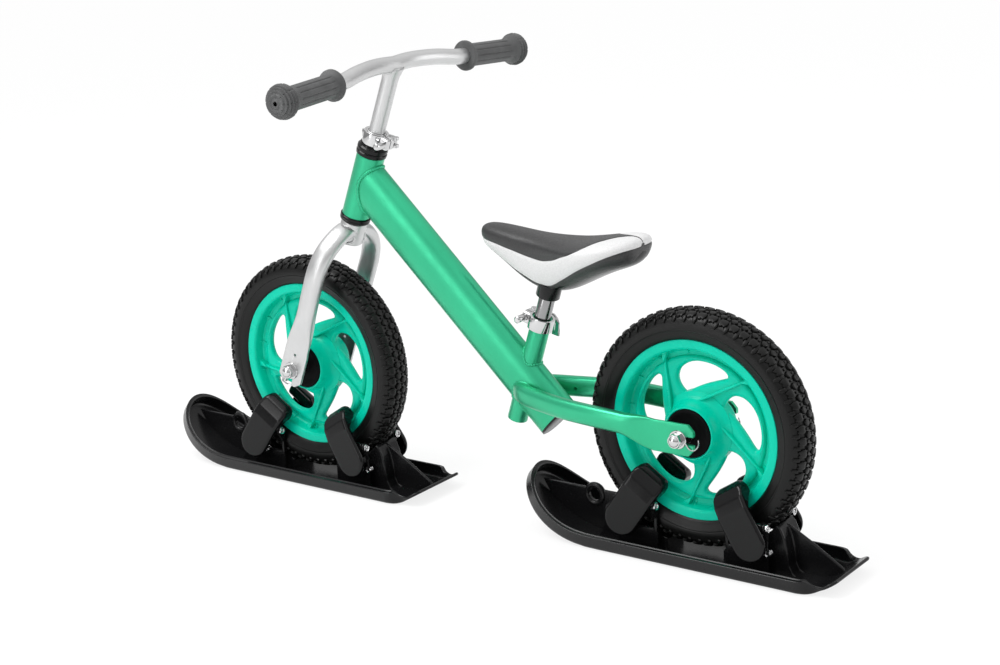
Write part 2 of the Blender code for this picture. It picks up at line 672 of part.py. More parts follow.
def ski_mesh():
    """The pan with its cradle, chocks, tow eye and the ears of the four clamps."""
    floor = SKI_WALL / 2 - AXLE_HEIGHT
    additions = []
    for reach in (-CRADLE_STATION, CRADLE_STATION):
        height = SKI_WALL / 2 + CRADLE_HEIGHT + 0.006
        additions.append(block((0.008, 1.6 * TYRE_HALF_WIDTH, height),
                               (reach, 0, floor + height / 2)))
    tail_x, tail_z = ski_point(-1.35)[:2]
    top = CHOCK_HEIGHT - AXLE_HEIGHT
    rear_side = [(-0.066, floor), (-0.066, -0.124), (-0.106, top), (-0.1265, top),
                 (tail_x, tail_z + 0.006 - AXLE_HEIGHT), (tail_x, tail_z + 0.002 - AXLE_HEIGHT),
                 (-SKI_SOLE_REAR, floor)]
    rear_plan = [(-0.060, CHOCK_HALF_WIDTH), (-0.118, CHOCK_HALF_WIDTH),
                 (-0.132, CHOCK_FIN_HALF_WIDTH), (tail_x - 0.01, CHOCK_FIN_HALF_WIDTH)]
    rear_plan += [(x, -y) for x, y in reversed(rear_plan)]
    eye = TOW_EYE_HEIGHT - AXLE_HEIGHT
    front_side = [(0.066, floor), (0.066, -0.124), (0.099, eye + 0.010), (0.114, eye + 0.010),
                  (TOW_EYE_REACH - 0.004, eye + 0.6 * TOW_EYE_RADIUS),
                  (TOW_EYE_REACH + 0.6 * TOW_EYE_RADIUS, eye - 0.5 * TOW_EYE_RADIUS),
                  (TOW_EYE_REACH + 0.030, floor + 0.012), (SKI_SOLE_FRONT + 0.022, floor + 0.0018),
                  (SKI_SOLE_FRONT, floor)]
    front_plan = [(0.060, CHOCK_HALF_WIDTH), (0.112, CHOCK_HALF_WIDTH),
                  (0.126, TOW_EYE_THICKNESS / 2 - 0.0007), (0.200, TOW_EYE_THICKNESS / 2 - 0.0007)]
    front_plan += [(x, -y) for x, y in reversed(front_plan)]
    for side, plan in ((rear_side, rear_plan), (front_side, front_plan)):
        wedge = moved(plate([side], 2.2 * CHOCK_HALF_WIDTH), OUTLINE_TO_XZ)
        prism = moved(plate([plan], 0.3), Matrix.Translation((0, 0, -AXLE_HEIGHT)))
        additions.append(combined(wedge, prism, "INTERSECT"))
    eye_place = Matrix.Translation((TOW_EYE_REACH, 0, eye)) @ AXIS_TO_Y
    additions.append(moved(rod(TOW_EYE_RADIUS, TOW_EYE_THICKNESS, 24), eye_place))
    ears = plate(ear_outline(), EAR_THICKNESS)
    ear_station = ARM_KNUCKLE_HALF_LENGTH + RUNNING_GAP + EAR_THICKNESS / 2
    rib_height = 0.030
    rib = block((2 * ear_station, 0.0032, rib_height),
                (0, TYRE_HALF_WIDTH + 0.0034, floor + rib_height / 2))
    for reach in (-ARM_PIN_REACH, ARM_PIN_REACH):
        for side in (Matrix.Identity(4), MIRROR_Y):
            for offset in (-ear_station, ear_station):
                place = side @ Matrix.Translation((reach + offset, 0, 0)) @ OUTLINE_TO_YZ
                additions.append(moved(ears, place))
            additions.append(moved(rib, side @ Matrix.Translation((reach, 0, 0))))
    body = union(ski_pan_mesh(), *additions)
    tyre_space = moved(rod(TYRE_RADIUS + SEAT_GAP, 2 * TYRE_HALF_WIDTH + 0.0016, 44), AXIS_TO_Y)
    hole = moved(rod(TOW_EYE_HOLE, 3 * TOW_EYE_THICKNESS, 16), eye_place)
    return cut(body, tyre_space, hole)


def arm_mesh():
    """The front left clamp arm about its pin: a shell with side flanges and a bent head."""
    lean = ARM_LEAN
    tip = RIM_HALF_WIDTH + RUNNING_GAP
    top = ARM_ABOVE_PIN
    low = -ARM_BELOW_PIN
    side = [(low, ARM_OUTER_LOW), (ARM_BEND_START, ARM_OUTER_HIGH),
            (ARM_BEND_START + 0.014, ARM_OUTER_HIGH - 0.0035), (top - 0.006, ARM_OUTER_HIGH - 0.011),
            (top, ARM_OUTER_HIGH - 0.020), (top - 0.002, tip), (0.030, tip), (0.025, tip + 0.009),
            (0.016, ARM_OUTER_HIGH - ARM_FLANGE), (low, ARM_OUTER_LOW - ARM_FLANGE)]
    hollow = [(low + ARM_WALL, ARM_OUTER_LOW - ARM_WALL), (0.014, ARM_OUTER_HIGH - ARM_WALL),
              (0.010, 0.020), (low + ARM_WALL, 0.020)]
    # Along the arm, across the bike, then over the arm's width
    place = Matrix(((-math.sin(lean), 0, -math.cos(lean), 0), (0, 1, 0, -ARM_PIN_OFFSET),
                    (math.cos(lean), 0, -math.sin(lean), 0), (0, 0, 0, 1)))
    half = ARM_HALF_WIDTH
    foot = [(low + half - half * math.cos(angle), half * math.sin(angle))
            for angle in (math.radians(90 - 30 * step) for step in range(7))]
    face = foot + [(top - 0.008, -half), (top, -half + 0.008), (top, half - 0.008),
                   (top - 0.008, half)]
    scale = (half - ARM_WALL) / half
    inner = [(max(s * scale, low + ARM_WALL), w * scale) for s, w in face]
    shell = combined(plate([side], 3 * half), moved(plate([face], 0.2), OUTLINE_TO_XZ), "INTERSECT")
    core = combined(plate([hollow], 3 * half), moved(plate([inner], 0.2), OUTLINE_TO_XZ), "INTERSECT")
    shell = moved(cut(shell, core), place)
    knuckle = moved(rod(ARM_KNUCKLE_RADIUS - 0.0006, 2 * ARM_KNUCKLE_HALF_LENGTH, 14), AXIS_TO_X)
    depth = ARM_OUTER_HIGH - ARM_PIN_OFFSET
    web = block((0.024, depth, 0.006), (0, depth / 2, 0))
    bore = moved(rod(PIN_BORE_RADIUS, 0.08, 10), AXIS_TO_X)
    return cut(union(shell, knuckle, web), bore)


def arm_pin_mesh():
    """A clamp pin with its round head to the rear."""
    front = ARM_KNUCKLE_HALF_LENGTH + RUNNING_GAP + EAR_THICKNESS + 0.0008
    rear = -(ARM_KNUCKLE_HALF_LENGTH + 2 * RUNNING_GAP + EAR_THICKNESS)
    profile = [(0, front), (ARM_PIN_RADIUS, front), (ARM_PIN_RADIUS, rear),
               (2 * ARM_PIN_RADIUS, rear), (2 * ARM_PIN_RADIUS, rear - 0.0014),
               (1.3 * ARM_PIN_RADIUS, rear - 0.0026), (0, rear - 0.0026)]
    return moved(turned(profile, 10), AXIS_TO_X)


# Frame pieces

def down_tube_section(grow, start, end):
    """A straight piece of the oval down tube, its section grown by the given amount."""
    half_height = DOWN_TUBE_HALF_HEIGHT + grow
    half_width = DOWN_TUBE_HALF_WIDTH + grow
    path = [DOWN_TUBE_END + start * DOWN_TUBE_DIRECTION, DOWN_TUBE_END + end * DOWN_TUBE_DIRECTION]
    return swept(path, [(half_height, half_width, 2.5)] * 2, Vector((0, 0, 1)), 24)


def down_tube_mesh():
    """The oval down tube: open at its foot, coped to the head tube, pierced by the seat tube."""
    body = down_tube_section(0, 0, DOWN_TUBE_LENGTH)
    hollow = down_tube_section(-DOWN_TUBE_WALL, -0.01, DOWN_TUBE_LENGTH + 0.01)
    head = moved(rod(HEAD_TUBE_RADIUS + SEAT_GAP, 0.2, 28), HEAD_PLACE)
    seat = moved(rod(SEAT_TUBE_RADIUS + SEAT_GAP, 0.2, 24), SEAT_PLACE)
    return cut(body, hollow, head, seat)


def end_plug_mesh():
    """The black plug in the down tube's foot."""
    flange = down_tube_section(-0.0006, -0.0026, -SEAT_GAP)
    inside = down_tube_section(-DOWN_TUBE_WALL - SEAT_GAP, -0.0015, END_PLUG_DEPTH)
    hollow = down_tube_section(-DOWN_TUBE_WALL - 0.0025, 0.0005, END_PLUG_DEPTH + 0.01)
    return cut(union(flange, inside), hollow)


def seat_tube_mesh():
    """The seat tube through the down tube, slit at the front of its top."""
    length = SEAT_TUBE_ABOVE + SEAT_TUBE_BELOW
    middle = (SEAT_TUBE_ABOVE - SEAT_TUBE_BELOW) / 2
    tube = moved(rod(SEAT_TUBE_RADIUS, length, 24, SEAT_TUBE_BORE),
                 Matrix.Translation((0, 0, middle)))
    slit = block((0.02, CLAMP_SLIT, 0.026), (0.01, 0, SEAT_TUBE_ABOVE - 0.006))
    return moved(cut(tube, slit), SEAT_PLACE)


def stay_mesh():
    """The left chainstay, flattened into its slotted dropout plate."""
    plate_y = DROPOUT_MIDDLE
    unit = DROPOUT_HALF_HEIGHT
    reach = DOWN_TUBE_REACH + STAY_JOINT_BEYOND
    shares = [(1.000, 0.151, 1.000), (0.922, 0.453, 1.000), (0.781, 0.689, 0.957),
              (0.625, 0.887, 0.939), (0.449, 0.991, 0.896)]
    knots = [Vector((reach * x, STAY_SPREAD * y, STAY_RISE * z)) for x, y, z in shares]
    knots += [Vector((3.7 * unit, STAY_SPREAD, 0.70 * STAY_RISE)),
              Vector((2.2 * unit, DROPOUT_MIDDLE + 0.0008, 0.17 * STAY_RISE))]
    path = curve_through(knots, 2)
    sections = []
    for point in path:
        share = min(max((3.95 - point.x / unit) / 1.84, 0), 1)
        sections.append((blend(STAY_HALF_HEIGHT, DROPOUT_HALF_HEIGHT - 0.0006, share),
                         blend(STAY_HALF_WIDTH, DROPOUT_THICKNESS / 2 + 0.0004, share),
                         2.5 + 3 * share))
    rear = -DROPOUT_BEYOND_AXLE
    for x, half in ((1.79 * unit, unit), (rear + 0.37 * unit, unit), (rear, 0.6 * unit)):
        path.append(Vector((x, plate_y, 0)))
        sections.append((half, DROPOUT_THICKNESS / 2, 9))
    body = moved(swept(path, sections, Vector((0, 0, 1)), 14), REAR_WHEEL_PLACE)
    fit = down_tube_section(SEAT_GAP, -0.01, 0.2)
    radius = AXLE_RADIUS + SEAT_GAP
    hole = moved(rod(radius, 0.02, 14), Matrix.Translation((0, plate_y, 0)) @ AXIS_TO_Y)
    slot = block((0.03, 0.02, 2 * radius), (-0.015, plate_y, 0))
    return cut(body, fit, moved(hole, REAR_WHEEL_PLACE), moved(slot, REAR_WHEEL_PLACE))


def cup_mesh(length, grooves):
    """A headset cup: a collar with a spigot that enters the head tube above it."""
    bore = STEERER_RADIUS + RUNNING_GAP
    spigot = HEAD_TUBE_BORE - SEAT_GAP
    profile = [(bore, length + 0.008), (spigot, length + 0.008), (spigot, length),
               (CUP_RADIUS - 0.0006, length), (CUP_RADIUS, length - 0.0006)]
    for index in range(grooves):
        level = length * (1 - (index + 1) / (grooves + 1))
        profile += [(CUP_RADIUS, level + 0.0006), (CUP_RADIUS - 0.0012, level),
                    (CUP_RADIUS, level - 0.0006)]
    profile += [(CUP_RADIUS, 0.0012), (CUP_RADIUS - 0.0012, 0), (bore, 0)]
    return turned(profile, 24, closed=True)


def clamp_mesh(bore, side):
    """A slit clamp ring with two ears on the given side, bored for its bolt."""
    outer = bore + CLAMP_WALL
    ear_width = 2 * CLAMP_EAR_FACE
    ring = rod(outer, CLAMP_HEIGHT, 24)
    inner = 0.6 * bore
    outer_end = CLAMP_BOLT_REACH + 0.0045
    ears = block((outer_end - inner, ear_width, CLAMP_HEIGHT - 0.0016),
                 (side * (outer_end + inner) / 2, 0, 0))
    body = union(ring, bevelled(ears, 0.0012, 1))
    hollow = moved(rod(bore, 0.05, 24), Matrix.Rotation(math.radians(5), 4, "Z"))
    slit = block((0.05, CLAMP_SLIT, 0.05), (side * 0.025, 0, 0))
    bolt = moved(rod(CLAMP_BOLT_RADIUS + SEAT_GAP, 0.05, 12),
                 Matrix.Translation((side * CLAMP_BOLT_REACH, 0, 0)) @ AXIS_TO_Y)
    return cut(body, hollow, slit, bolt)


def clamp_bolt_mesh():
    """The bolt about the lever's hinge: shank and nut along +Y, hinge pin along Z."""
    nut = LEVER_HINGE_OFFSET + CLAMP_EAR_FACE + SEAT_GAP
    end = nut + 0.0165
    profile = [(0, end), (0.0028, end), (0.0045, end - 0.0012), (0.0045, nut),
               (CLAMP_BOLT_RADIUS, nut), (CLAMP_BOLT_RADIUS, 0), (0, 0)]
    shank = moved(turned(profile, 12), AXIS_TO_Y)
    return union(shank, rod(0.0022, 2 * LEVER_HALF_HEIGHT, 12))


def lever_mesh(points, halves):
    """A quick-release lever about its hinge: two cheeks round the bolt and a curved handle."""
    path = curve_through([Vector(point) for point in points], 2)
    steps = len(path) - 1
    sections = []
    for index in range(len(path)):
        place = index / steps * (len(halves) - 1)
        first = min(int(place), len(halves) - 2)
        half = halves[first] + (halves[first + 1] - halves[first]) * (place - first)
        thick = LEVER_THICKNESS / 2 * (1 + 0.9 * max(0, index / steps - 0.8))
        sections.append((thick, half, 3.2))
    handle = swept(path, sections, Vector((0, 1, 0)), 10)
    body = union(rod(LEVER_CAM_RADIUS, 2 * LEVER_HALF_HEIGHT, 16), handle)
    side = math.copysign(1, points[-1][0])
    inner = CLAMP_BOLT_RADIUS + RUNNING_GAP
    front = block((0.03, 0.03, 2 * inner), (0, 0.015 - inner, 0))
    back = block((0.03, 0.06, 2 * inner), (-side * 0.015, 0, 0))
    return cut(body, front, back, rod(0.0022 + SEAT_GAP, 0.03, 12))


# Steering pieces, about the steering axis

def steerer_mesh():
    """The fork's steerer tube with its crown in one, slit at the rear of its top."""
    foot = CROWN_HEIGHT - CROWN_LENGTH
    profile = [(STEERER_BORE, STEERER_TOP), (STEERER_RADIUS, STEERER_TOP),
               (STEERER_RADIUS, CROWN_HEIGHT), (CROWN_RADIUS - 0.001, CROWN_HEIGHT),
               (CROWN_RADIUS, CROWN_HEIGHT - 0.001), (CROWN_RADIUS, foot + 0.001),
               (CROWN_RADIUS - 0.001, foot), (STEERER_BORE, foot)]
    slit = block((0.02, CLAMP_SLIT, 0.03), (-0.01, 0, STEERER_TOP))
    return cut(turned(profile, 28, closed=True), slit)


def fork_leg_mesh():
    """The left fork leg, from the crown's side to its slotted dropout plate."""
    plate_y = DROPOUT_MIDDLE
    unit = DROPOUT_HALF_HEIGHT
    shares = [(0.073, 0.940), (0.291, 0.938), (0.573, 0.896), (0.845, 0.818),
              (0.991, 0.705), (1.000, 0.544), (0.967, 0.332)]
    knots = [Vector((0, FORK_LEG_SPREAD * y, CROWN_HEIGHT * z)) for y, z in shares]
    knots.append(Vector((FORK_OFFSET, DROPOUT_MIDDLE + 0.0006, 1.9 * unit)))
    path = curve_through(knots, 2)
    sections = []
    for point in path:
        share = min(max((4.63 - point.z / unit) / 2.63, 0), 1)
        sections.append((blend(FORK_LEG_DEPTH / 2, DROPOUT_HALF_HEIGHT - 0.0006, share),
                         blend(FORK_LEG_WIDTH / 2, DROPOUT_THICKNESS / 2 + 0.0003, share),
                         2.4 + 3 * share))
    foot = -DROPOUT_BEYOND_AXLE
    for z, half in ((1.47 * unit, unit), (foot + 0.42 * unit, unit), (foot, 0.58 * unit)):
        path.append(Vector((FORK_OFFSET, plate_y, z)))
        sections.append((half, DROPOUT_THICKNESS / 2, 9))
    body = swept(path, sections, Vector((1, 0, 0)), 14)
    crown = rod(CROWN_RADIUS + SEAT_GAP, 1.0, 28)
    radius = AXLE_RADIUS + SEAT_GAP
    hole = moved(rod(radius, 0.02, 14),
                 Matrix.Translation((FORK_OFFSET, plate_y, 0)) @ AXIS_TO_Y)
    slot = block((2 * radius, 0.02, 0.03), (FORK_OFFSET, plate_y, -0.015))
    return cut(body, crown, hole, slot)


# Handlebar, about the bar's middle in level axes

def bar_points():
    """Half of the bar's centre line, from the middle to the left end."""
    knots = [Vector((0, 0, 0)), Vector((0.0004, 0.034, 0.0012)), Vector((-0.0055, 0.074, -0.0004)),
             Vector((-BAR_BEND_BACK + 0.0012, 0.107, -BAR_BEND_DROP + 0.0014)),
             Vector((-BAR_BEND_BACK, BAR_BEND_HALF, -BAR_BEND_DROP))]
    return curve_through(knots, 3)


def bar_mesh(grow=0.0):
    """The handlebar, its radius grown by the given amount."""
    half = bar_points()
    half.append(half[-1] + BAR_END_DIRECTION * (BAR_HALF_LENGTH - BAR_BEND_HALF))
    points = [Vector((point.x, -point.y, point.z)) for point in reversed(half[1:])] + half
    return round_tube(points, BAR_RADIUS + grow, 5)


def stem_mesh():
    """The handlebar stem about the steering axis: a tube that flares to fit under the bar."""
    top = BAR_HEIGHT - 0.0035
    bore = STEM_RADIUS - STEM_WALL
    profile = [(bore, top), (STEM_RADIUS + 0.0016, top), (STEM_RADIUS + 0.0010, top - 0.009),
               (STEM_RADIUS, top - 0.014), (STEM_RADIUS, STEM_FOOT + 0.0008),
               (STEM_RADIUS - 0.0008, STEM_FOOT), (bore, STEM_FOOT)]
    return cut(turned(profile, 24, closed=True), moved(bar_mesh(SEAT_GAP), STEM_BAR_PLACE))


def grip_mesh():
    """A grip along Z from its inner flange to its mushroom end, with a blind bore."""
    bore = BAR_RADIUS + SEAT_GAP
    end = GRIP_LENGTH
    depth = end - GRIP_END_WALL
    swell = end - 0.027
    profile = [(0, end), (0.78 * GRIP_END_RADIUS, end - 0.0026),
               (0.96 * GRIP_END_RADIUS, end - 0.0075),
               (GRIP_END_RADIUS, end - 0.0125), (0.95 * GRIP_END_RADIUS, end - 0.0190),
               (GRIP_RADIUS, swell), (GRIP_RADIUS, 0.0060), (GRIP_FLANGE_RADIUS, 0.0040),
               (GRIP_FLANGE_RADIUS, 0.0006), (GRIP_FLANGE_RADIUS - 0.0008, 0), (bore, 0),
               (bore, depth), (0, depth)]
    return turned(profile, 24)


# Saddle, in level axes from the top of its post

def saddle_levels(share):
    """Half width and the heights of top, widest line, seam and hull from tail 0 to nose 1."""
    tail = max(0.0, 1 - share / 0.42)
    nose = max(0.0, (share - 0.42) / 0.58)
    top = SADDLE_TOP + SADDLE_TAIL_RISE * tail ** 1.6 + SADDLE_NOSE_RISE * nose ** 2
    half = blend(SADDLE_TAIL_HALF_WIDTH, SADDLE_NOSE_HALF_WIDTH, (share - 0.08) / 0.64)
    sag = blend(0, 1, (share - 0.05) / 0.50) if share < 0.6 else blend(0, 1, (1 - share) / 0.38)
    hull = SADDLE_TOP - SADDLE_END_DEPTH * (1 - 0.12 * nose) - SADDLE_HULL_DROP * sag
    seam = hull + SEAM_ABOVE_HULL * (0.9 + 0.35 * sag)
    widest = top - SADDLE_END_DEPTH * (0.394 + 0.106 * tail)
    return half, top, widest, seam, hull


def saddle_ring(step, steps, upper):
    """One section of the pad or of the base, as points in order round it."""
    turn = math.pi * (step + 0.35) / (steps + 0.70)
    share = (1 - math.cos(turn)) / 2
    half, top, widest, seam, hull = saddle_levels(share)
    close = math.sin(turn) ** 0.62
    middle = 0.55 * top + 0.45 * hull + 0.12 * SADDLE_END_DEPTH
    half = half * min(1.0, close * 1.04)
    top, widest, seam, hull = [middle + (z - middle) * blend(0.25, 1, close * 1.1)
                               for z in (top, widest, seam, hull)]
    x = SADDLE_TAIL_X + share * (SADDLE_NOSE_X - SADDLE_TAIL_X)
    depth = (widest - seam) / (widest - hull)
    seam_angle = math.asin(min(depth, 1.0) ** 0.90)
    points = []
    if upper:
        for index in range(19):
            angle = -seam_angle + (math.pi + 2 * seam_angle) * index / 18
            side = math.cos(angle)
            rise = math.sin(angle)
            if rise < 0:
                y = half * math.copysign(abs(side) ** 0.9, side)
                z = widest - (widest - hull) * abs(rise) ** (1 / 0.9)
            else:
                y = half * math.copysign(abs(side) ** 0.8, side)
                z = widest + (top - widest) * rise ** 0.85
            points.append((x, y, z))
    else:
        for index in range(9):
            angle = seam_angle + (math.pi - 2 * seam_angle) * index / 8
            side = math.cos(angle)
            y = (half - 0.0008) * math.copysign(abs(side) ** 0.9, side)
            z = widest - (widest - hull) * math.sin(angle) ** (1 / 0.9)
            points.append((x, y, min(z, seam) - SEAT_GAP))
    return points


def saddle_pad_mesh():
    """The padded cover from the top down to the seam."""
    return loft([saddle_ring(step, 17, True) for step in range(18)])


def saddle_base_mesh():
    """The hull under the seam with the socket for the seat post."""
    hull = loft([saddle_ring(step, 17, False) for step in range(18)])
    socket_top = SEAT_POST_TOP + 0.0025
    socket = moved(rod(SADDLE_SOCKET_RADIUS, socket_top - SADDLE_SOCKET_FOOT, 20),
                   Matrix.Translation((0, 0, (socket_top + SADDLE_SOCKET_FOOT) / 2)))
    socket = moved(bevelled(socket, 0.0015, 1), SADDLE_PLACE.inverted() @ SEAT_PLACE)
    bore = moved(rod(SEAT_POST_RADIUS + SEAT_GAP, SEAT_POST_TOP + SEAT_GAP, 24),
                 Matrix.Translation((0, 0, (SEAT_POST_TOP + SEAT_GAP) / 2)))
    return cut(union(hull, socket), moved(bore, SADDLE_PLACE.inverted() @ SEAT_PLACE))


# Looks
GREEN = material("frame green", (0.030, 0.330, 0.185), 0.30, 0.55)
SILVER = material("satin silver", (0.560, 0.570, 0.580), 0.32, 0.85)
CHROME = material("chrome", (0.750, 0.750, 0.760), 0.12, 1.0)
BLACK = material("black plastic", (0.012, 0.012, 0.013), 0.38)
RUBBER = material("grey rubber", (0.022, 0.023, 0.025), 0.75)
TYRE = material("tyre foam", (0.020, 0.021, 0.022), 0.80)
TURQUOISE = material("turquoise plastic", (0.000, 0.520, 0.360), 0.35)
LEATHERETTE = material("black leatherette", (0.013, 0.013, 0.014), 0.50)

# Assembly
FRAME = Place("frame_place", Matrix.Identity(4))
STEERING = Place("steering_place", STEERING_PLACE)
BAR = Place("handlebar_place", STEERING_PLACE @ Matrix.Translation((0, 0, STEERER_TOP)), STEERING)
SEAT = Place("seat_place", SEAT_PLACE @ Matrix.Translation((0, 0, SEAT_TUBE_ABOVE)))

DOWN_TUBE = part("down_tube", down_tube_mesh(), GREEN, FRAME.empty)
part("down_tube_end_plug", end_plug_mesh(), BLACK, FRAME.empty)
part("head_tube", moved(rod(HEAD_TUBE_RADIUS, HEAD_TUBE_LENGTH, 28, HEAD_TUBE_BORE), HEAD_PLACE),
     GREEN, FRAME.empty)
part("seat_tube", seat_tube_mesh(), GREEN, FRAME.empty)
STAY = stay_mesh()
part("chainstay_left", STAY, GREEN, FRAME.empty)
part("chainstay_right", moved(STAY, MIRROR_Y), GREEN, FRAME.empty)
UPPER_CUP = moved(cup_mesh(UPPER_CUP_LENGTH, 1), MIRROR_Z)
part("headset_cup_upper", moved(UPPER_CUP, STEERING_PLACE @ Matrix.Translation(
    (0, 0, UPPER_CUP_TOP))), BLACK, FRAME.empty)
part("headset_cup_lower", moved(cup_mesh(LOWER_CUP_LENGTH, 0), STEERING_PLACE @ Matrix.Translation(
    (0, 0, CROWN_HEIGHT + SEAT_GAP))), BLACK, FRAME.empty)
SEAT_CLAMP_PLACE = SEAT_PLACE @ Matrix.Translation((0, 0, SEAT_CLAMP_HEIGHT))
part("seat_clamp", moved(clamp_mesh(SEAT_TUBE_RADIUS + SEAT_GAP, 1), SEAT_CLAMP_PLACE),
     CHROME, FRAME.empty)
SEAT_LEVER = Place("seat_clamp_lever_place", SEAT_CLAMP_PLACE @ Matrix.Translation(
    (CLAMP_BOLT_REACH, -LEVER_HINGE_OFFSET, 0)))
part("seat_clamp_bolt", moved(clamp_bolt_mesh(), SEAT_LEVER.world), CHROME, FRAME.empty)
SEAT_HANDLE = [(-0.0005, -0.0030, 0), (-0.0070, -0.0115, 0), (-0.0180, -0.0158, -0.001),
               (-0.0250, -0.0165, -0.008), (-0.0272, -0.0165, -0.0225)]
part("seat_clamp_lever", lever_mesh(SEAT_HANDLE, (0.0050, 0.0048, 0.0042, 0.0058)), CHROME,
     SEAT_LEVER.empty)

# Steering
part("fork_steerer", steerer_mesh(), SILVER, STEERING.empty)
LEG = fork_leg_mesh()
part("fork_leg_left", LEG, SILVER, STEERING.empty)
part("fork_leg_right", moved(LEG, MIRROR_Y), SILVER, STEERING.empty)
STEM_CLAMP_PLACE = Matrix.Translation((0, 0, STEERER_TOP - 0.001 - CLAMP_HEIGHT / 2))
part("stem_clamp", moved(clamp_mesh(STEERER_RADIUS + SEAT_GAP, -1), STEM_CLAMP_PLACE), CHROME,
     STEERING.empty)
LEVER_TURN = (Matrix.Translation((-CLAMP_BOLT_REACH, -LEVER_HINGE_OFFSET, 0))
              @ Matrix.Rotation(STEM_LEVER_TURN, 4, "Y"))
part("stem_clamp_bolt", moved(clamp_bolt_mesh(), STEM_CLAMP_PLACE @ LEVER_TURN), CHROME,
     STEERING.empty)
STEM_LEVER = Place("stem_clamp_lever_place", STEERING_PLACE @ STEM_CLAMP_PLACE @ LEVER_TURN,
                   STEERING)
STEM_HANDLE = [(0.0005, -0.0030, 0), (0.0070, -0.0105, 0), (0.0220, -0.0155, 0),
               (0.0450, -0.0170, 0), (0.0640, -0.0150, 0)]
part("stem_clamp_lever", lever_mesh(STEM_HANDLE, (0.0050, 0.0050, 0.0046, 0.0058)), CHROME,
     STEM_LEVER.empty)

# Handlebar, stem and grips
part("handlebar_stem", moved(stem_mesh(), Matrix.Translation((0, 0, -STEERER_TOP))), SILVER,
     BAR.empty)
BAR_LEVEL = Matrix.Translation((0, 0, -STEERER_TOP)) @ STEM_BAR_PLACE
part("handlebar", moved(bar_mesh(), BAR_LEVEL), SILVER, BAR.empty)
GRIP_START = bar_points()[-1] + BAR_END_DIRECTION * (
    BAR_HALF_LENGTH - BAR_BEND_HALF - GRIP_LENGTH + GRIP_END_WALL + 0.0005)
GRIP = moved(grip_mesh(), axis_place(GRIP_START, BAR_END_DIRECTION))
part("grip_left", moved(GRIP, BAR_LEVEL), RUBBER, BAR.empty)
part("grip_right", moved(GRIP, BAR_LEVEL @ MIRROR_Y), RUBBER, BAR.empty)

# Seat, about the seat tube's top
SEAT_FRAME = SEAT.world.inverted()
SEAT_POST = moved(rod(SEAT_POST_RADIUS, SEAT_POST_TOP - SEAT_POST_FOOT, 24), SEAT_PLACE
                  @ Matrix.Translation((0, 0, (SEAT_POST_TOP + SEAT_POST_FOOT) / 2)))
part("seat_post", moved(SEAT_POST, SEAT_FRAME), CHROME, SEAT.empty)
part("saddle_base", moved(saddle_base_mesh(), SEAT_FRAME @ SADDLE_PLACE), BLACK, SEAT.empty)
part("saddle_pad", moved(saddle_pad_mesh(), SEAT_FRAME @ SADDLE_PLACE), LEATHERETTE, SEAT.empty)

# Wheels with their skis
RIM = rim_mesh()
TYRE_BODY = tyre_mesh()
HUB_CAP = hub_cap_mesh()
SKI = ski_mesh()
ARM = arm_mesh()
ARM_PIN = arm_pin_mesh()
AXLE = axle_mesh()
NUT = nut_mesh()


def wheel_and_ski(prefix, wheel):
    """A wheel on its ski with the four clamp arms, under the empty on the axle."""
    part(prefix + "_rim", moved(RIM, Matrix.Identity(4)), TURQUOISE, wheel.empty)
    part(prefix + "_tyre", moved(TYRE_BODY, Matrix.Identity(4)), TYRE, wheel.empty)
    part(prefix + "_hub_cap_left", moved(HUB_CAP, Matrix.Identity(4)), BLACK, wheel.empty)
    part(prefix + "_hub_cap_right", moved(HUB_CAP, MIRROR_Y), BLACK, wheel.empty)
    part(prefix + "_ski", moved(SKI, Matrix.Identity(4)), BLACK, wheel.empty)
    for end, along in (("front", 1), ("rear", -1)):
        for side, across in (("left", 1), ("right", -1)):
            label = prefix + "_" + end + "_" + side
            seat = wheel.world @ Matrix.Translation(
                (along * ARM_PIN_REACH, across * ARM_PIN_OFFSET, ARM_PIN_HEIGHT - AXLE_HEIGHT))
            place = Place(label + "_arm_place", seat, wheel)
            turn = Matrix.Identity(4)
            if along < 0:
                turn = turn @ MIRROR_X
            if across < 0:
                turn = turn @ MIRROR_Y
            part(label + "_arm", moved(ARM, turn), BLACK, place.empty)
            pin = wheel.world.inverted() @ seat
            part(label + "_arm_pin", moved(ARM_PIN, pin), CHROME, wheel.empty)


def axle_set(prefix, parent, place):
    """An axle with its locknuts and its two outer nuts, fixed in a pair of dropouts."""
    part(prefix + "_axle", moved(AXLE, place), CHROME, parent)
    part(prefix + "_axle_nut_left", moved(NUT, place), CHROME, parent)
    part(prefix + "_axle_nut_right", moved(NUT, place @ MIRROR_Y), CHROME, parent)


axle_set("rear", FRAME.empty, REAR_WHEEL_PLACE)
axle_set("front", STEERING.empty, Matrix.Translation((FORK_OFFSET, 0, 0)))
wheel_and_ski("rear", Place("rear_wheel_place", REAR_WHEEL_PLACE))
wheel_and_ski("front", Place("front_wheel_place", FRONT_WHEEL_PLACE, STEERING))
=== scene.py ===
"""Studio scene of a child's balance bike that stands on clip-on skis.

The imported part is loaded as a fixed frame.  Each operator makes one group of pieces in mesh
code, in metres and in the frame's axes (+X forward, +Y to the rider's left, +Z up), gives it a
procedural finish and lets it ride on its body.
"""
import json
import math

import bmesh
import bpy
import numpy as np
from bpy.props import FloatProperty, FloatVectorProperty, IntProperty, PointerProperty
from mathutils import Matrix, Vector
from mathutils.bvhtree import BVHTree
from mathutils.geometry import interpolate_bezier

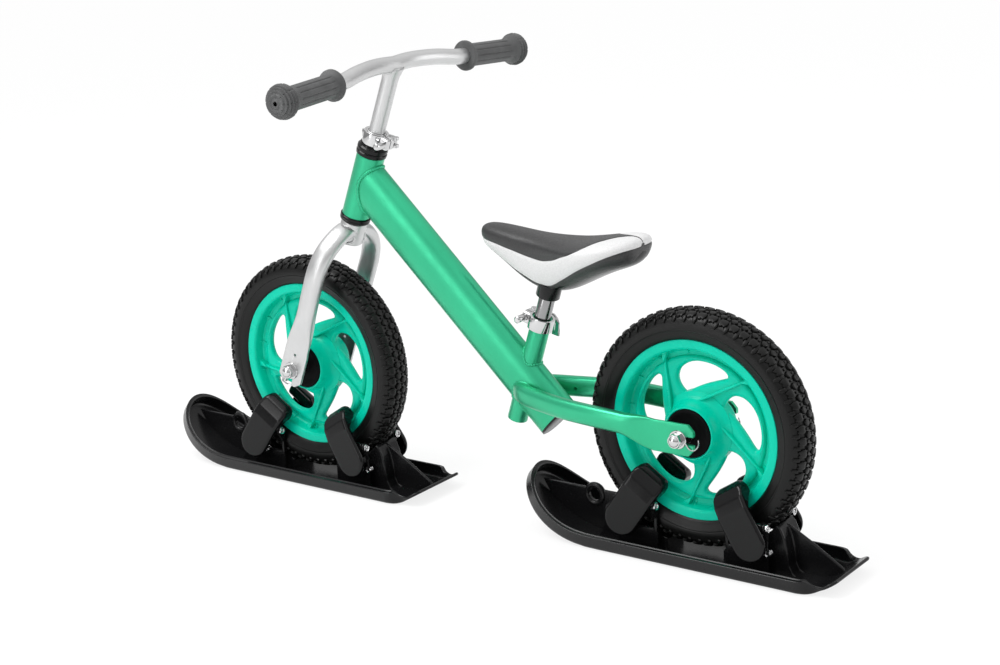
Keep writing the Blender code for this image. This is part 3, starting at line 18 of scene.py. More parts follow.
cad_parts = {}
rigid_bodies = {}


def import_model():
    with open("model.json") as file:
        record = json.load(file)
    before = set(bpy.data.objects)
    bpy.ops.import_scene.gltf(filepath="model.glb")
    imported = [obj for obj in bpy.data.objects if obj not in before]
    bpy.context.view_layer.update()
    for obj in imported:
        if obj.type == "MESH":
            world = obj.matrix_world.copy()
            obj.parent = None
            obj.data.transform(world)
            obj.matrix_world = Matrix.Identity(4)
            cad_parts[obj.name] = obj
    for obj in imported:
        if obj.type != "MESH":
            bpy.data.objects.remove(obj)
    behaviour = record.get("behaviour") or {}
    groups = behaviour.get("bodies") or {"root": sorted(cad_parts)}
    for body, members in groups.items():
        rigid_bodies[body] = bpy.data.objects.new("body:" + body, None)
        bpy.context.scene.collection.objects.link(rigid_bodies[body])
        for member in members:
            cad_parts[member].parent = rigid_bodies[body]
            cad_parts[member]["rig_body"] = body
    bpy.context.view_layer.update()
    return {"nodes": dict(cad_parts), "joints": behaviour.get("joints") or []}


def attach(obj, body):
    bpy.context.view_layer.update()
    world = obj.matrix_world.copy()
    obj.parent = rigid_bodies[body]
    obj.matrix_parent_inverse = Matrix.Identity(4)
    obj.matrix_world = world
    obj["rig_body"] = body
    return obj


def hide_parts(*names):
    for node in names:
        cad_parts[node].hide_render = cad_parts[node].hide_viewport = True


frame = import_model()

bl_info = {
    "name": "Balance Bike With Skis",
    "version": (1, 0, 0),
    "blender": (4, 5, 0),
    "location": "View3D > Sidebar > Bike",
    "description": "Builds a balance bike on clip-on skis and the studio around it",
    "category": "Object",
}

NODES = frame["nodes"]
JOINTS = {joint["name"]: joint for joint in frame["joints"]}

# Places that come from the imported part
REAR_AXLE = Vector(JOINTS["rear_wheel_pitch"]["pos_m"])
FRONT_AXLE = Vector(JOINTS["front_wheel_pitch"]["pos_m"])
STEERING_AXIS = Vector(JOINTS["steering"]["axis"]).normalized()
SEAT_AXIS = Vector(JOINTS["seat_height"]["axis"]).normalized()
STEERING_TILT = math.atan2(-STEERING_AXIS.x, STEERING_AXIS.z)
SEAT_TILT = math.atan2(-SEAT_AXIS.x, SEAT_AXIS.z)
AXLE_HEIGHT = REAR_AXLE.z

# Shape of the solids that the pieces follow
RIM_SEAT_RADIUS = 0.1040
RIM_HALF_WIDTH = 0.0174
HUB_RADIUS = 0.0320
DISC_RADIUS = 0.0885
DISC_THICKNESS = 0.0110
HUB_HALF_WIDTH = 0.0195
HUB_CAP_FACE = 0.0308
SPOKE_COUNT = 5
TYRE_HALF_WIDTH = 0.0235
AXLE_RADIUS = 0.0048
CLEARANCE = 0.0003
DROPOUT_MIDDLE = 0.0505
DROPOUT_THICKNESS = 0.0050
DROPOUT_HALF_HEIGHT = 0.0190
DROPOUT_BEYOND = 0.0200
FORK_OFFSET = 0.003
FORK_SPREAD = 0.0550
CROWN_HEIGHT = 0.2170
CROWN_RADIUS = 0.0170
HEAD_BOTTOM = 0.2256
HEAD_TOP = 0.3124
HEAD_TUBE_RADIUS = 0.0183
STEERER_RADIUS = 0.0127
STEERER_TOP = 0.3452
STEM_RADIUS = 0.0105
BAR_HEIGHT = 0.4372
BAR_RADIUS = 0.0102
BAR_HALF_LENGTH = 0.2340
BAR_BEND_HALF = 0.1250
GRIP_LENGTH = 0.1130
GRIP_RADIUS = 0.0148
GRIP_FLANGE_RADIUS = 0.0195
GRIP_END_RADIUS = 0.0205
DOWN_TUBE_FOOT = (0.2031, -0.0203)
DOWN_TUBE_ABOVE_MIDDLE = 0.0080
DOWN_TUBE_HALF_HEIGHT = 0.0310
DOWN_TUBE_HALF_WIDTH = 0.0180
SEAT_STATION = 0.0625
SEAT_ABOVE = 0.0860
SEAT_BELOW = 0.0560
SEAT_TUBE_RADIUS = 0.0127
SEAT_POST_RADIUS = 0.0102
SEAT_POST_TOP = 0.1320
STAY_SPREAD = 0.0530
STAY_HALF_HEIGHT = 0.0130
STAY_HALF_WIDTH = 0.0085
STAY_RISE = 0.0115
STAY_REACH = 0.2560
SADDLE_TOP = 0.0649
SADDLE_NOSE = 0.0937
SADDLE_TAIL = -0.1338
SADDLE_NOSE_HALF = 0.0240
SADDLE_TAIL_HALF = 0.0580
SADDLE_END_DEPTH = 0.0330
SKI_WALL = 0.0040
SKI_HALF_WIDTH = 0.0575
SKI_FLANGE = 0.0170
SKI_SOLE_FRONT = 0.1250
SKI_SOLE_REAR = 0.1590
SKI_NOSE_RADIUS = 0.1480
SKI_NOSE_REACH = 0.1470
SKI_TAIL_RADIUS = 0.0300
SKI_TAIL_ANGLE = math.radians(30.0)
SKI_TAIL_LENGTH = 0.0270
SKI_TAIL_HALF_WIDTH = 0.0500
SKI_TAPER_START = 0.150
SKI_FLOOR_END = -0.135
CHOCK_HALF_WIDTH = 0.0200
TOW_EYE_REACH = 0.1520
TOW_EYE_HEIGHT = 0.0480
ARM_PIN_REACH = 0.0745
ARM_PIN_OFFSET = 0.0325
ARM_PIN_HEIGHT = 0.0620
ARM_LEAN = math.radians(33.0)
ARM_HALF_WIDTH = 0.0200
ARM_LOW = -0.0440
ARM_TOP = 0.0490
KNUCKLE_HALF = 0.0235
TREAD_MIDDLE_RADIUS = 0.1425
TREAD_STEP = 0.0006
WELD_RIPPLE = 0.16
TICK_COUNT = 15
SKI_NOSE_START = 0.0246
RIB_END = 0.2290
SPRING_RADIUS = 0.0029
SPRING_HALF_LENGTH = 0.0040
SPRING_OFFSET = 0.0272
SPRING_HEIGHT = 0.0300
STEM_INSERTION = 0.0860
BAND_EASE = 0.02
CAMERA_ANGLES = (216.59, 15.60, -2.675)
CAMERA_FOCAL_PIXELS = 1976.6
CAMERA_AIM = (-0.0288, 0, 0.2372)
CAMERA_DISTANCE = 2.4598
FLOOR_SIZE = 14.0

# Outlines of tread blocks as (along, across), and of chocks as (along, up)
WEDGE_BLOCK = [(-0.0014, 0.0030), (0.0014, 0.0026), (0.0015, 0.0068), (-0.0012, 0.0072)]
PLATE_BLOCK = [(-0.0050, 0.0112), (-0.0036, 0.0100), (0.0034, 0.0098), (0.0050, 0.0112),
               (0.0054, 0.0156), (0.0034, 0.0202), (0.0006, 0.0186), (-0.0030, 0.0208),
               (-0.0052, 0.0160)]
OUTER_BLOCK = [(-0.0030, 0.0186), (0.0022, 0.0178), (0.0028, 0.0216), (0.0004, 0.0262),
               (-0.0024, 0.0250)]
CHOCK_WALL = [(-0.066, 0.002), (-0.066, 0.034), (-0.104, 0.0620), (-0.1085, 0.0622),
              (-0.1135, 0.0590), (-0.1185, 0.0480), (-0.1220, 0.0340), (-0.1245, 0.0150),
              (-0.1290, 0.0060), (-0.1370, 0.002)]
CHOCK_WEB = [(-0.108, 0.0605), (-0.1165, 0.0590), (-0.1500, 0.0405), (-0.1840, 0.0190),
             (-0.1880, 0.0130), (-0.1700, 0.0020), (-0.108, 0.002)]
CHOCK_FRONT = [(0.066, 0.002), (0.066, 0.034), (0.099, 0.057), (0.112, 0.057), (0.126, 0.044),
               (0.131, 0.010), (0.138, 0.002)]
CHOCK_RIB = [(0.100, 0.002), (0.100, 0.0560), (0.145, 0.0560), (RIB_END, 0.0560)]

# Profiles of radius and height, and the safety hook's line about the dropout's face
RIM_PROFILE = [(0.0820, 0.0022), (0.0900, 0.0024), (0.0935, 0.0030), (0.0952, 0.0046),
               (0.0962, 0.0085), (0.0970, 0.0130), (0.0978, 0.0156), (0.0992, 0.0170),
               (0.1012, 0.0175), (0.1040, 0.0173), (0.1078, 0.0176), (0.1093, 0.0174),
               (0.1100, 0.0166), (0.1097, 0.0154), (0.1045, 0.0130)]
HUB_PROFILE = [(0.0086, 0.0195), (0.0296, 0.0195), (0.0296, 0.0284), (0.0304, 0.0294),
               (0.0316, 0.0290), (0.0324, 0.0274), (0.0330, 0.0240), (0.0340, 0.0195),
               (0.0356, 0.0150), (0.0380, 0.0112), (0.0412, 0.0085), (0.0455, 0.0068)]
TICK_PROFILE = [(0.0890, 0.0026), (0.0950, 0.0030), (0.0968, 0.0085), (0.0955, 0.0078),
                (0.0940, 0.0050), (0.0905, 0.0034)]
PIN_HEAD = [(0.0025, 0), (0.0050, 0), (0.0052, -0.0006), (0.0051, -0.0018), (0.0044, -0.0025),
            (0.0034, -0.0022), (0.0028, -0.0010), (0.0022, -0.0010), (0.0014, -0.0017),
            (0, -0.0019)]
LOWER_CUP = [(0.0192, 0), (0.0200, -0.0010), (0.0200, -0.0038), (0.0196, -0.0042),
             (0.0200, -0.0046), (0.0197, -0.0068), (0.0184, -0.0080)]
UPPER_CUP = [(0.0190, 0), (0.0198, 0.0006), (0.0200, 0.0040), (0.0192, 0.0052),
             (0.0186, 0.0058), (0.0197, 0.0066), (0.0200, 0.0078), (0.0198, 0.0112),
             (0.0186, 0.0124), (0.0178, 0.0130), (0.0172, 0.0150)]
HOOK_LINE = [(-0.0100, 0.0020, 0.0006), (-0.0160, 0.0090, 0.0010), (-0.0215, 0.0100, -0.0010),
             (-0.0245, 0.0050, -0.0045), (-0.0235, -0.0010, -0.0060)]

# Radius in millimetres and angle of the wheel's openings, and the pan's edge section
OPENING = [(45.5, 66.5), (53.0, 63.0), (61.0, 63.0), (68.0, 66.0), (74.5, 72.0), (79.0, 81.0),
           (81.0, 91.0), (81.6, 103.0), (81.2, 112.5), (79.5, 118.3), (76.2, 120.0), (71.5, 117.5),
           (63.0, 109.5), (54.5, 97.5), (47.8, 82.0), (44.8, 72.0)]
SKI_SECTION = [(0.0085, 0.0), (0.0070, 0.0003), (0.0056, 0.0010), (0.0044, 0.0023),
               (0.0035, 0.0042), (0.0009, 0.0145), (0.0002, 0.0160), (0.0, 0.0167),
               (0.0004, 0.0173), (0.0012, 0.0176), (0.0042, 0.0176), (0.0048, 0.0179),
               (0.0053, 0.0187), (0.0060, 0.0190), (0.0067, 0.0187), (0.0071, 0.0178),
               (0.0074, 0.0160), (0.0092, 0.0068), (0.0102, 0.0052), (0.0120, 0.0042),
               (0.0150, 0.0040)]

# Edges of the saddle's pale band: share of the length and angle round the section
BAND_UPPER = [(0.000, 90), (0.070, 90), (0.105, 87), (0.153, 82), (0.219, 62), (0.260, 36),
              (0.345, 3), (0.451, -11), (0.556, -17), (0.755, -15), (0.883, -17), (0.970, -23),
              (1.000, -26)]
BAND_LOWER = [(0.000, 0), (0.018, 0), (0.089, -8), (0.194, -22), (0.337, -35), (0.456, -47),
              (0.535, -59), (0.575, -64), (0.640, -60), (0.704, -56), (0.834, -61), (0.930, -58),
              (1.000, -56)]

AXIS_TO_Y = Matrix.Rotation(math.radians(-90), 4, "X")
AXIS_TO_X = Matrix.Rotation(math.radians(90), 4, "Y")
OUTLINE_TO_XZ = Matrix.Rotation(math.radians(90), 4, "X")
OUTLINE_TO_YZ = Matrix(((0, 0, 1, 0), (1, 0, 0, 0), (0, 1, 0, 0), (0, 0, 0, 1)))
MIRROR_X = Matrix.Scale(-1, 4, (1, 0, 0))
MIRROR_Y = Matrix.Scale(-1, 4, (0, 1, 0))

REAR_PLACE = Matrix.Translation(REAR_AXLE)
FRONT_PLACE = Matrix.Translation(FRONT_AXLE)
STEERING_PLACE = (FRONT_PLACE @ Matrix.Rotation(-STEERING_TILT, 4, "Y")
                  @ Matrix.Translation((-FORK_OFFSET, 0, 0)))
HEAD_PLACE = STEERING_PLACE @ Matrix.Translation((0, 0, (HEAD_BOTTOM + HEAD_TOP) / 2))
HEAD_JOINT = HEAD_PLACE @ Vector((0, 0, DOWN_TUBE_ABOVE_MIDDLE))
DOWN_TUBE_END = REAR_PLACE @ Vector((DOWN_TUBE_FOOT[0], 0, DOWN_TUBE_FOOT[1]))
DOWN_TUBE_LENGTH = (HEAD_JOINT - DOWN_TUBE_END).length
DOWN_TUBE_DIRECTION = (HEAD_JOINT - DOWN_TUBE_END).normalized()
SEAT_JOINT = DOWN_TUBE_END + SEAT_STATION * DOWN_TUBE_DIRECTION
SEAT_PLACE = Matrix.Translation(SEAT_JOINT) @ Matrix.Rotation(-SEAT_TILT, 4, "Y")
SADDLE_PLACE = Matrix.Translation(SEAT_PLACE @ Vector((0, 0, SEAT_POST_TOP)))
BAR_PLACE = (STEERING_PLACE @ Matrix.Translation((0, 0, BAR_HEIGHT))
             @ Matrix.Rotation(STEERING_TILT, 4, "Y"))
BAR_END_DIRECTION = Vector((-math.tan(math.radians(4.2)), 1, -math.tan(math.radians(2.4))))
BAR_END_DIRECTION.normalize()
ENDS = (("rear", REAR_PLACE), ("front", FRONT_PLACE))
SIDES = (("left", Matrix.Identity(4)), ("right", MIRROR_Y))


# Mesh tools

def mesh_of(points, faces):
    """A mesh from points and faces."""
    mesh = bpy.data.meshes.new("shape")
    mesh.from_pydata([tuple(point) for point in points], [], faces)
    mesh.update()
    return mesh


def edited(mesh, *changes):
    """The mesh after changes to its points and faces."""
    bm = bmesh.new()
    bm.from_mesh(mesh)
    for change in changes:
        change(bm)
    bm.to_mesh(mesh)
    bm.free()
    return mesh


def face_outward(bm):
    """Turns every face outward."""
    bmesh.ops.recalc_face_normals(bm, faces=bm.faces)


def tidied(mesh, distance=0.0000005):
    """The mesh with its doubled points joined and its faces pointing out."""
    return edited(mesh, lambda bm: bmesh.ops.remove_doubles(bm, verts=bm.verts, dist=distance),
                  face_outward)


def moved(mesh, matrix):
    """A copy of the mesh moved by the matrix, kept outward under a mirror."""
    copy = mesh.copy()
    copy.transform(matrix)
    if matrix.determinant() < 0:
        copy.flip_normals()
    return copy


def joined(meshes):
    """All the meshes as one, with the material numbers they have."""
    bm = bmesh.new()
    for mesh in meshes:
        bm.from_mesh(mesh)
    whole = bpy.data.meshes.new("joined")
    bm.to_mesh(whole)
    bm.free()
    return whole


def evaluated(obj):
    """The mesh of an object with its modifiers; the object goes."""
    bpy.context.scene.collection.objects.link(obj)
    graph = bpy.context.evaluated_depsgraph_get()
    mesh = bpy.data.meshes.new_from_object(obj.evaluated_get(graph))
    bpy.data.objects.remove(obj)
    return mesh


def modified(mesh, kind, **settings):
    """The mesh after one modifier with the given settings."""
    obj = bpy.data.objects.new("modified", mesh)
    modifier = obj.modifiers.new("change", kind)
    for name, value in settings.items():
        setattr(modifier, name, value)
    return evaluated(obj)


def combined(mesh, other, operation):
    """The exact union, difference or intersection of two closed meshes."""
    cutter = bpy.data.objects.new("cutter", other)
    bpy.context.scene.collection.objects.link(cutter)
    result = modified(mesh, "BOOLEAN", solver="EXACT", operation=operation, object=cutter)
    bpy.data.objects.remove(cutter)
    return result


def cut(mesh, *others):
    """The first mesh with the others taken away."""
    for other in others:
        mesh = combined(mesh, other, "DIFFERENCE")
    return mesh


def bevelled(mesh, width, segments=2, angle=35):
    """The mesh with its sharp edges rounded."""
    return modified(mesh, "BEVEL", width=width, segments=segments, limit_method="ANGLE",
                    angle_limit=math.radians(angle), use_clamp_overlap=True,
                    miter_outer="MITER_ARC")


def moulded(mesh, voxel, rounds=4, keep=1.0):
    """The mesh remade in small even faces with softened edges, as plastic leaves a mould."""
    mesh = modified(mesh, "REMESH", mode="VOXEL", voxel_size=voxel, use_smooth_shade=True)
    mesh = modified(mesh, "SMOOTH", factor=0.5, iterations=rounds)
    if keep < 1:
        mesh = modified(mesh, "DECIMATE", ratio=keep)
    return mesh


def plate(outlines, thickness, round_edge=0.0):
    """A flat outline with optional holes, centred on the XY plane."""
    curve = bpy.data.curves.new("outline", "CURVE")
    curve.dimensions = "2D"
    curve.fill_mode = "BOTH"
    curve.extrude = thickness / 2 - round_edge
    curve.bevel_depth = round_edge
    curve.bevel_resolution = 2
    curve.offset = -round_edge
    for outline in outlines:
        spline = curve.splines.new("POLY")
        spline.points.add(len(outline) - 1)
        for point, place in zip(spline.points, outline):
            point.co = (place[0], place[1], 0, 1)
        spline.use_cyclic_u = True
    return tidied(evaluated(bpy.data.objects.new("outline", curve)), 0.000001)


def faces_between(rows, count, start=0, wrap=False):
    """Four-sided faces between closed rings of equally many points."""
    faces = []
    for row in range(rows if wrap else rows - 1):
        one, two = start + row * count, start + (row + 1) % rows * count
        for index in range(count):
            after = (index + 1) % count
            faces.append((one + index, one + after, two + after, two + index))
    return faces


def skin(rings, wrap=False, caps=True):
    """A surface through closed rings of equally many points."""
    count = len(rings[0])
    points = [point for ring in rings for point in ring]
    faces = faces_between(len(rings), count, 0, wrap)
    if caps and not wrap:
        faces += [tuple(range(count)), tuple(range(len(points) - count, len(points)))]
    return tidied(mesh_of(points, faces))


def polar(radius, angle):
    """A point in the wheel's plane; the angle runs from +X towards +Z."""
    return radius * math.cos(angle), radius * math.sin(angle)


def around(count, first=0.0):
    """Angles in even steps round a circle."""
    return [2 * math.pi * (step + first) / count for step in range(count)]


def turned(profile, segments=64, place=None, closed=False):
    """A profile of radius and height turned about Z."""
    rings = [[(*polar(radius, angle), height) for angle in around(segments)]
             for radius, height in profile]
    mesh = skin(rings, wrap=closed, caps=False)
    return moved(mesh, place) if place else mesh


def lifted(profile, height):
    """A profile of radius and rise, from a height up."""
    return [(radius, height + rise) for radius, rise in profile]


def upright(x, z, foot_x=0.0, foot_z=0.0):
    """A matrix that lays a flat outline along a direction in the wheel's plane."""
    return Matrix(((x, 0, -z, foot_x), (0, 1, 0, 0), (z, 0, x, foot_z), (0, 0, 0, 1)))


def mirrored_profile(half):
    """A closed profile from its half at positive height."""
    return half + [(radius, -height) for radius, height in reversed(half)]


def rod(radius, length, segments=48, place=None):
    """A cylinder along Z centred on the origin."""
    half = length / 2
    return turned([(0, half), (radius, half), (radius, -half), (0, -half)], segments, place)


def block(size, centre):
    """A box of the given size about its centre."""
    return edited(bpy.data.meshes.new("block"), lambda bm: bmesh.ops.create_cube(bm, size=1),
                  lambda bm: bmesh.ops.scale(bm, vec=size, verts=bm.verts),
                  lambda bm: bmesh.ops.translate(bm, vec=centre, verts=bm.verts))


def tube_along(points, radius, sides=12, closed=False):
    """A round bar along points; the radius may be a function of the share of the way."""
    points = [Vector(point) for point in points]
    last = len(points) - 1
    normal = None
    rings = []
    for index, point in enumerate(points):
        before = points[index - 1] if index or closed else point
        after = points[(index + 1) % len(points)] if index < last or closed else point
        along = (after - before).normalized()
        normal = along.orthogonal() if normal is None else normal - normal.dot(along) * along
        normal.normalize()
        across = along.cross(normal)
        size = radius(index / last) if callable(radius) else radius
        rings.append([point + size * (math.cos(angle) * normal + math.sin(angle) * across)
                      for angle in around(sides)])
    return skin(rings, wrap=closed)


def superellipse(half_first, half_second, power, count):
    """Points round a section, from an ellipse at power 2 towards a rectangle."""
    def bent(value):
        return math.copysign(abs(value) ** (2 / power), value)

    return [(half_first * bent(math.cos(angle)), half_second * bent(math.sin(angle)))
            for angle in around(count, 0.5)]


def swept_rings(path, sections, first_axis, count):
    """Sections (half sizes and power) along a path, as rings."""
    rings = []
    last = len(path) - 1
    for index, (place, section) in enumerate(zip(path, sections)):
        along = (path[min(index + 1, last)] - path[max(index - 1, 0)]).normalized()
        first = (first_axis - first_axis.dot(along) * along).normalized()
        second = along.cross(first)
        rings.append([place + a * first + b * second
                      for a, b in superellipse(*section, count)])
    return rings


def curve_through(knots, steps):
    """Points on a smooth curve through the knots."""
    points = []
    for index in range(len(knots) - 1):
        start, end = knots[index], knots[index + 1]
        before = knots[index - 1] if index else start
        after = knots[index + 2] if index + 2 < len(knots) else end
        handle_start = start + (end - before) / 6
        handle_end = end - (after - start) / 6
        points.extend(interpolate_bezier(start, handle_start, handle_end, end, steps + 1)[:-1])
    points.append(knots[-1])
    return [Vector(point) for point in points]


def ease(start, end, share):
    """A value between start and end that leaves and arrives level."""
    share = min(max(share, 0.0), 1.0)
    share = share * share * (3 - 2 * share)
    return start + (end - start) * share


def axis_place(origin, direction):
    """A matrix whose Z axis points along the direction from the origin."""
    return Matrix.Translation(origin) @ direction.to_track_quat("Z", "Y").to_matrix().to_4x4()


def tree_of(mesh):
    """A search tree over the mesh's faces."""
    return BVHTree.FromPolygons([vertex.co.copy() for vertex in mesh.vertices],
                                [tuple(face.vertices) for face in mesh.polygons])


def bead(outline, direction, target, radius, waves):
    """A weld bead where an outline, sent along the direction, meets the target's surface."""
    hits = [target.ray_cast(point, direction)[0] for point in outline]
    return tube_along([place for place in hits if place], lambda share: radius * (
        1 + WELD_RIPPLE * math.sin(2 * math.pi * waves * share)), 8, closed=True)


def circle_at(place, radius, height):
    """Points round an axis at a height above a place."""
    return [place @ Vector((*polar(radius, angle), height)) for angle in around(120)]


def piece(name, mesh, look, node, sharp=35, stands=True):
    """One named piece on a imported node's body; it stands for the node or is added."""
    mesh.name = name
    looks = look if isinstance(look, tuple) else (look,)
    numbers = [face.material_index for face in mesh.polygons]
    mesh.materials.clear()
    for one in looks:
        mesh.materials.append(finish(one))
    if len(looks) > 1:
        mesh.polygons.foreach_set("material_index", numbers)
    mesh.shade_smooth()
    mesh.set_sharp_from_angle(angle=math.radians(sharp))
    obj = bpy.data.objects.new(name, mesh)
    bpy.context.scene.collection.objects.link(obj)
    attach(obj, NODES[node]["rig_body"])
    if stands:
        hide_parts(node)
    return obj


def refined(name, node, look, width, segments, angle):
    """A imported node's own form with rounded edges, standing for it."""
    mesh = edited(tidied(NODES[node].data.copy(), 0.00001), lambda bm: bmesh.ops.dissolve_limit(
        bm, angle_limit=math.radians(1.0), verts=bm.verts, edges=bm.edges))
    return piece(name, bevelled(mesh, width, segments, angle), look, node)


# Finishes

class Wire:
    """A shader socket whose arithmetic adds Math nodes."""

    def __init__(self, tree, socket):
        self.tree, self.socket = tree, socket

    def _maths(self, operation, one, two):
        node = self.tree.nodes.new("ShaderNodeMath")
        node.operation = operation
        for socket, value in zip(node.inputs, (one, two)):
            connect(self.tree, socket, value)
        return Wire(self.tree, node.outputs[0])

    def __add__(self, other):
        return self._maths("ADD", self, other)

    def __rsub__(self, other):
        return self._maths("SUBTRACT", other, self)

    def __mul__(self, other):
        return self._maths("MULTIPLY", self, other)


def connect(tree, socket, value):
    """Links a wire to the socket, or sets the socket's value."""
    if isinstance(value, Wire):
        tree.links.new(value.socket, socket)
    elif hasattr(value, "__len__") and len(value) == 3 and socket.type == "RGBA":
        socket.default_value = (*value, 1)
    else:
        socket.default_value = value


class NodeTree:
    """Builds the nodes of a material or of the world."""

    def __init__(self, tree):
        self.tree = tree

    def node(self, kind, sockets=None, output=0, **options):
        """One node with its options and sockets set; gives one output."""
        node = self.tree.nodes.new(kind)
        for name, value in options.items():
            setattr(node, name, value)
        for name, value in (sockets or {}).items():
            connect(self.tree, node.inputs[name], value)
        return Wire(self.tree, node.outputs[output]) if node.outputs else None

    def mixed(self, share, one, two):
        """A colour between two colours."""
        return self.node("ShaderNodeMix", {0: share, 6: one, 7: two}, 2, data_type="RGBA")

    def spread(self, value, low, high, start=0.0, end=1.0):
        """A value moved from one range to another and kept within it."""
        return self.node("ShaderNodeMapRange", {"Value": value, "From Min": low, "From Max": high,
                                                "To Min": start, "To Max": end}, clamp=True)


class Finish(NodeTree):
    """A material made of one Principled shader and what varies over its surface."""

    def __init__(self, name, **constants):
        self.material = bpy.data.materials.new(name)
        self.material.use_nodes = True
        super().__init__(self.material.node_tree)
        self.shader = self.tree.nodes["Principled BSDF"]
        self.place = self.node("ShaderNodeTexCoord", output="Object")
        for socket, value in constants.items():
            connect(self.tree, self.shader.inputs[socket.replace("_", " ")], value)

    def noise(self, scale, detail=3.0, roughness=0.5, vector=None):
        """Soft noise of the given grain, from 0 to 1."""
        return self.node("ShaderNodeTexNoise", {"Vector": vector or self.place, "Scale": scale,
                                                "Detail": detail, "Roughness": roughness})

    def cells(self, scale, vector=None):
        """Distance in a pattern of cells."""
        return self.node("ShaderNodeTexVoronoi", {"Vector": vector or self.place, "Scale": scale},
                         feature="F1")

    def surface(self, base, varied, low, high, least, most, height, depth):
        """Sets the colour, the roughness from least to most and the relief in metres."""
        values = {"Base Color": base, "Roughness": self.spread(varied, low, high, least, most),
                  "Normal": self.node("ShaderNodeBump", {"Height": height, "Distance": depth,
                                                         "Strength": 1.0})}
        for socket, value in values.items():
            connect(self.tree, self.shader.inputs[socket], value)
        return self.material


def shade(colour, factor):
    """A colour made lighter or darker."""
    return tuple(min(1.0, channel * factor) for channel in colour)


def metallic_paint(name, colour, roughness):
    """Satin paint with fine metal flakes and a thin clear coat."""
    finish = Finish(name, Metallic=0.66, Coat_Weight=0.14, Coat_Roughness=0.25)
    share = finish.spread(finish.cells(2400.0) * 0.7 + finish.noise(14.0, 2.0) * 0.5, 0.25, 0.75)
    return finish.surface(
        finish.mixed(share, shade(colour, 0.86), shade(colour, 1.14)), finish.noise(60.0), 0.3, 0.7,
        roughness - 0.03, roughness + 0.04, finish.noise(420.0, 2.0), 0.00003)


def satin_metal(name, colour, roughness):
    """Bead-blasted light metal under clear lacquer."""
    finish = Finish(name, Metallic=0.82, Coat_Weight=0.10, Coat_Roughness=0.3)
    grain = finish.noise(1800.0, 2.0)
    share = finish.spread(grain * 0.7 + finish.noise(25.0) * 0.5, 0.3, 0.9)
    return finish.surface(
        finish.mixed(share, shade(colour, 0.93), shade(colour, 1.05)), finish.noise(90.0), 0.3, 0.7,
        roughness - 0.04, roughness + 0.05, grain, 0.00002)


def bright_plating(name, colour, roughness):
    """Polished plating with faint smudges and hairline scratches."""
    finish = Finish(name, Metallic=1.0)
    stretched = finish.node("ShaderNodeVectorMath", {0: finish.place, 1: (1.0, 1.0, 0.12)},
                            operation="MULTIPLY")
    hair = finish.noise(900.0, 3.0, vector=stretched)
    smudge = finish.noise(45.0, 4.0)
    return finish.surface(
        finish.mixed(smudge, shade(colour, 0.90), colour), smudge * 0.7 + hair * 0.4, 0.35, 0.85,
        roughness, roughness + 0.10, hair, 0.000012)


def moulded_plastic(name, colour, roughness, grain=900.0, depth=0.00002, scuff=1.6, shine=0.25):
    """Moulded plastic with an eroded grain and paler scuffs."""
    finish = Finish(name, Specular_IOR_Level=shine)
    cloud = finish.noise(30.0, 5.0)
    scuffs = finish.spread(finish.noise(160.0, 6.0, 0.7), 0.62, 0.80)
    base = finish.mixed(cloud, shade(colour, 0.90), shade(colour, 1.10))
    return finish.surface(
        finish.mixed(scuffs * 0.35, base, shade(colour, scuff)), cloud * 0.6 + scuffs * 0.4,
        0.2, 0.7, roughness - 0.05, roughness + 0.08, finish.cells(grain), depth)


def foam_rubber(name, colour, roughness, grain=1300.0):
    """Matte foam or rubber with fine pores and dusty high spots."""
    finish = Finish(name, Specular_IOR_Level=0.23)
    dust = finish.spread(finish.noise(38.0, 5.0, 0.6), 0.42, 0.75)
    return finish.surface(
        finish.mixed(dust, shade(colour, 0.9), shade(colour, 1.35)), dust, 0.0, 1.0,
        roughness - 0.06, roughness + 0.05, finish.cells(grain), 0.00005)


def leatherette(name, colour, roughness, valley_shade):
    """Coated cloth with a pebbled grain whose valleys are darkened in colour as painted shade."""
    finish = Finish(name, Specular_IOR_Level=0.5, Sheen_Weight=0.06)
    warp = finish.noise(120.0, 3.0)
    push = finish.node("ShaderNodeTexNoise", {"Vector": finish.place, "Scale": 160.0}, 1)
    pushed = finish.node("ShaderNodeVectorMath", {0: push, 1: (0.0016, 0.0016, 0.0016),
                                                  2: finish.place}, operation="MULTIPLY_ADD")
    pebbles = finish.cells(620.0, pushed)
    valley = finish.spread(pebbles, 0.25, 0.65)
    # Painted shade: the colour darkens towards the valleys between the pebbles, where the bump is
    # low.
    return finish.surface(
        finish.mixed(valley, colour, shade(colour, valley_shade)), warp * 0.5 + valley * 0.5, 0.2, 0.8,
        roughness - 0.05, roughness + 0.10, 1 - pebbles * 1.4 + warp * 0.4, 0.00010)


# Stage nodes

def seen(nodes, mirrored):
    """One for what the camera sees, and a share for what polished pieces mirror."""
    camera, glossy, through = (nodes.node("ShaderNodeLightPath", output=ray) for ray in (
        "Is Camera Ray", "Is Glossy Ray", "Is Transmission Ray"))
    return camera + glossy * mirrored + through


def emptied(owner):
    """The node tree of a new material or world, without its first nodes."""
    owner.use_nodes = True
    owner.node_tree.nodes.clear()
    return NodeTree(owner.node_tree)


# Settings

def metres(name, description, default, low, high):
    """A setting in metres."""
    return FloatProperty(name=name, description=description, default=default, min=low, max=high,
                         unit="LENGTH")


def whole(name, description, default, low, high):
    """A setting in whole numbers."""
    return IntProperty(name=name, description=description, default=default, min=low, max=high)


def amount(name, description, default, **options):
    """A setting from 0 up."""
    return FloatProperty(name=name, description=description, default=default, min=0.0, **options)


def tint(name, description, default):
    """A setting that is a colour."""
    return FloatVectorProperty(name=name, description=description, subtype="COLOR", size=3,
                               default=default)


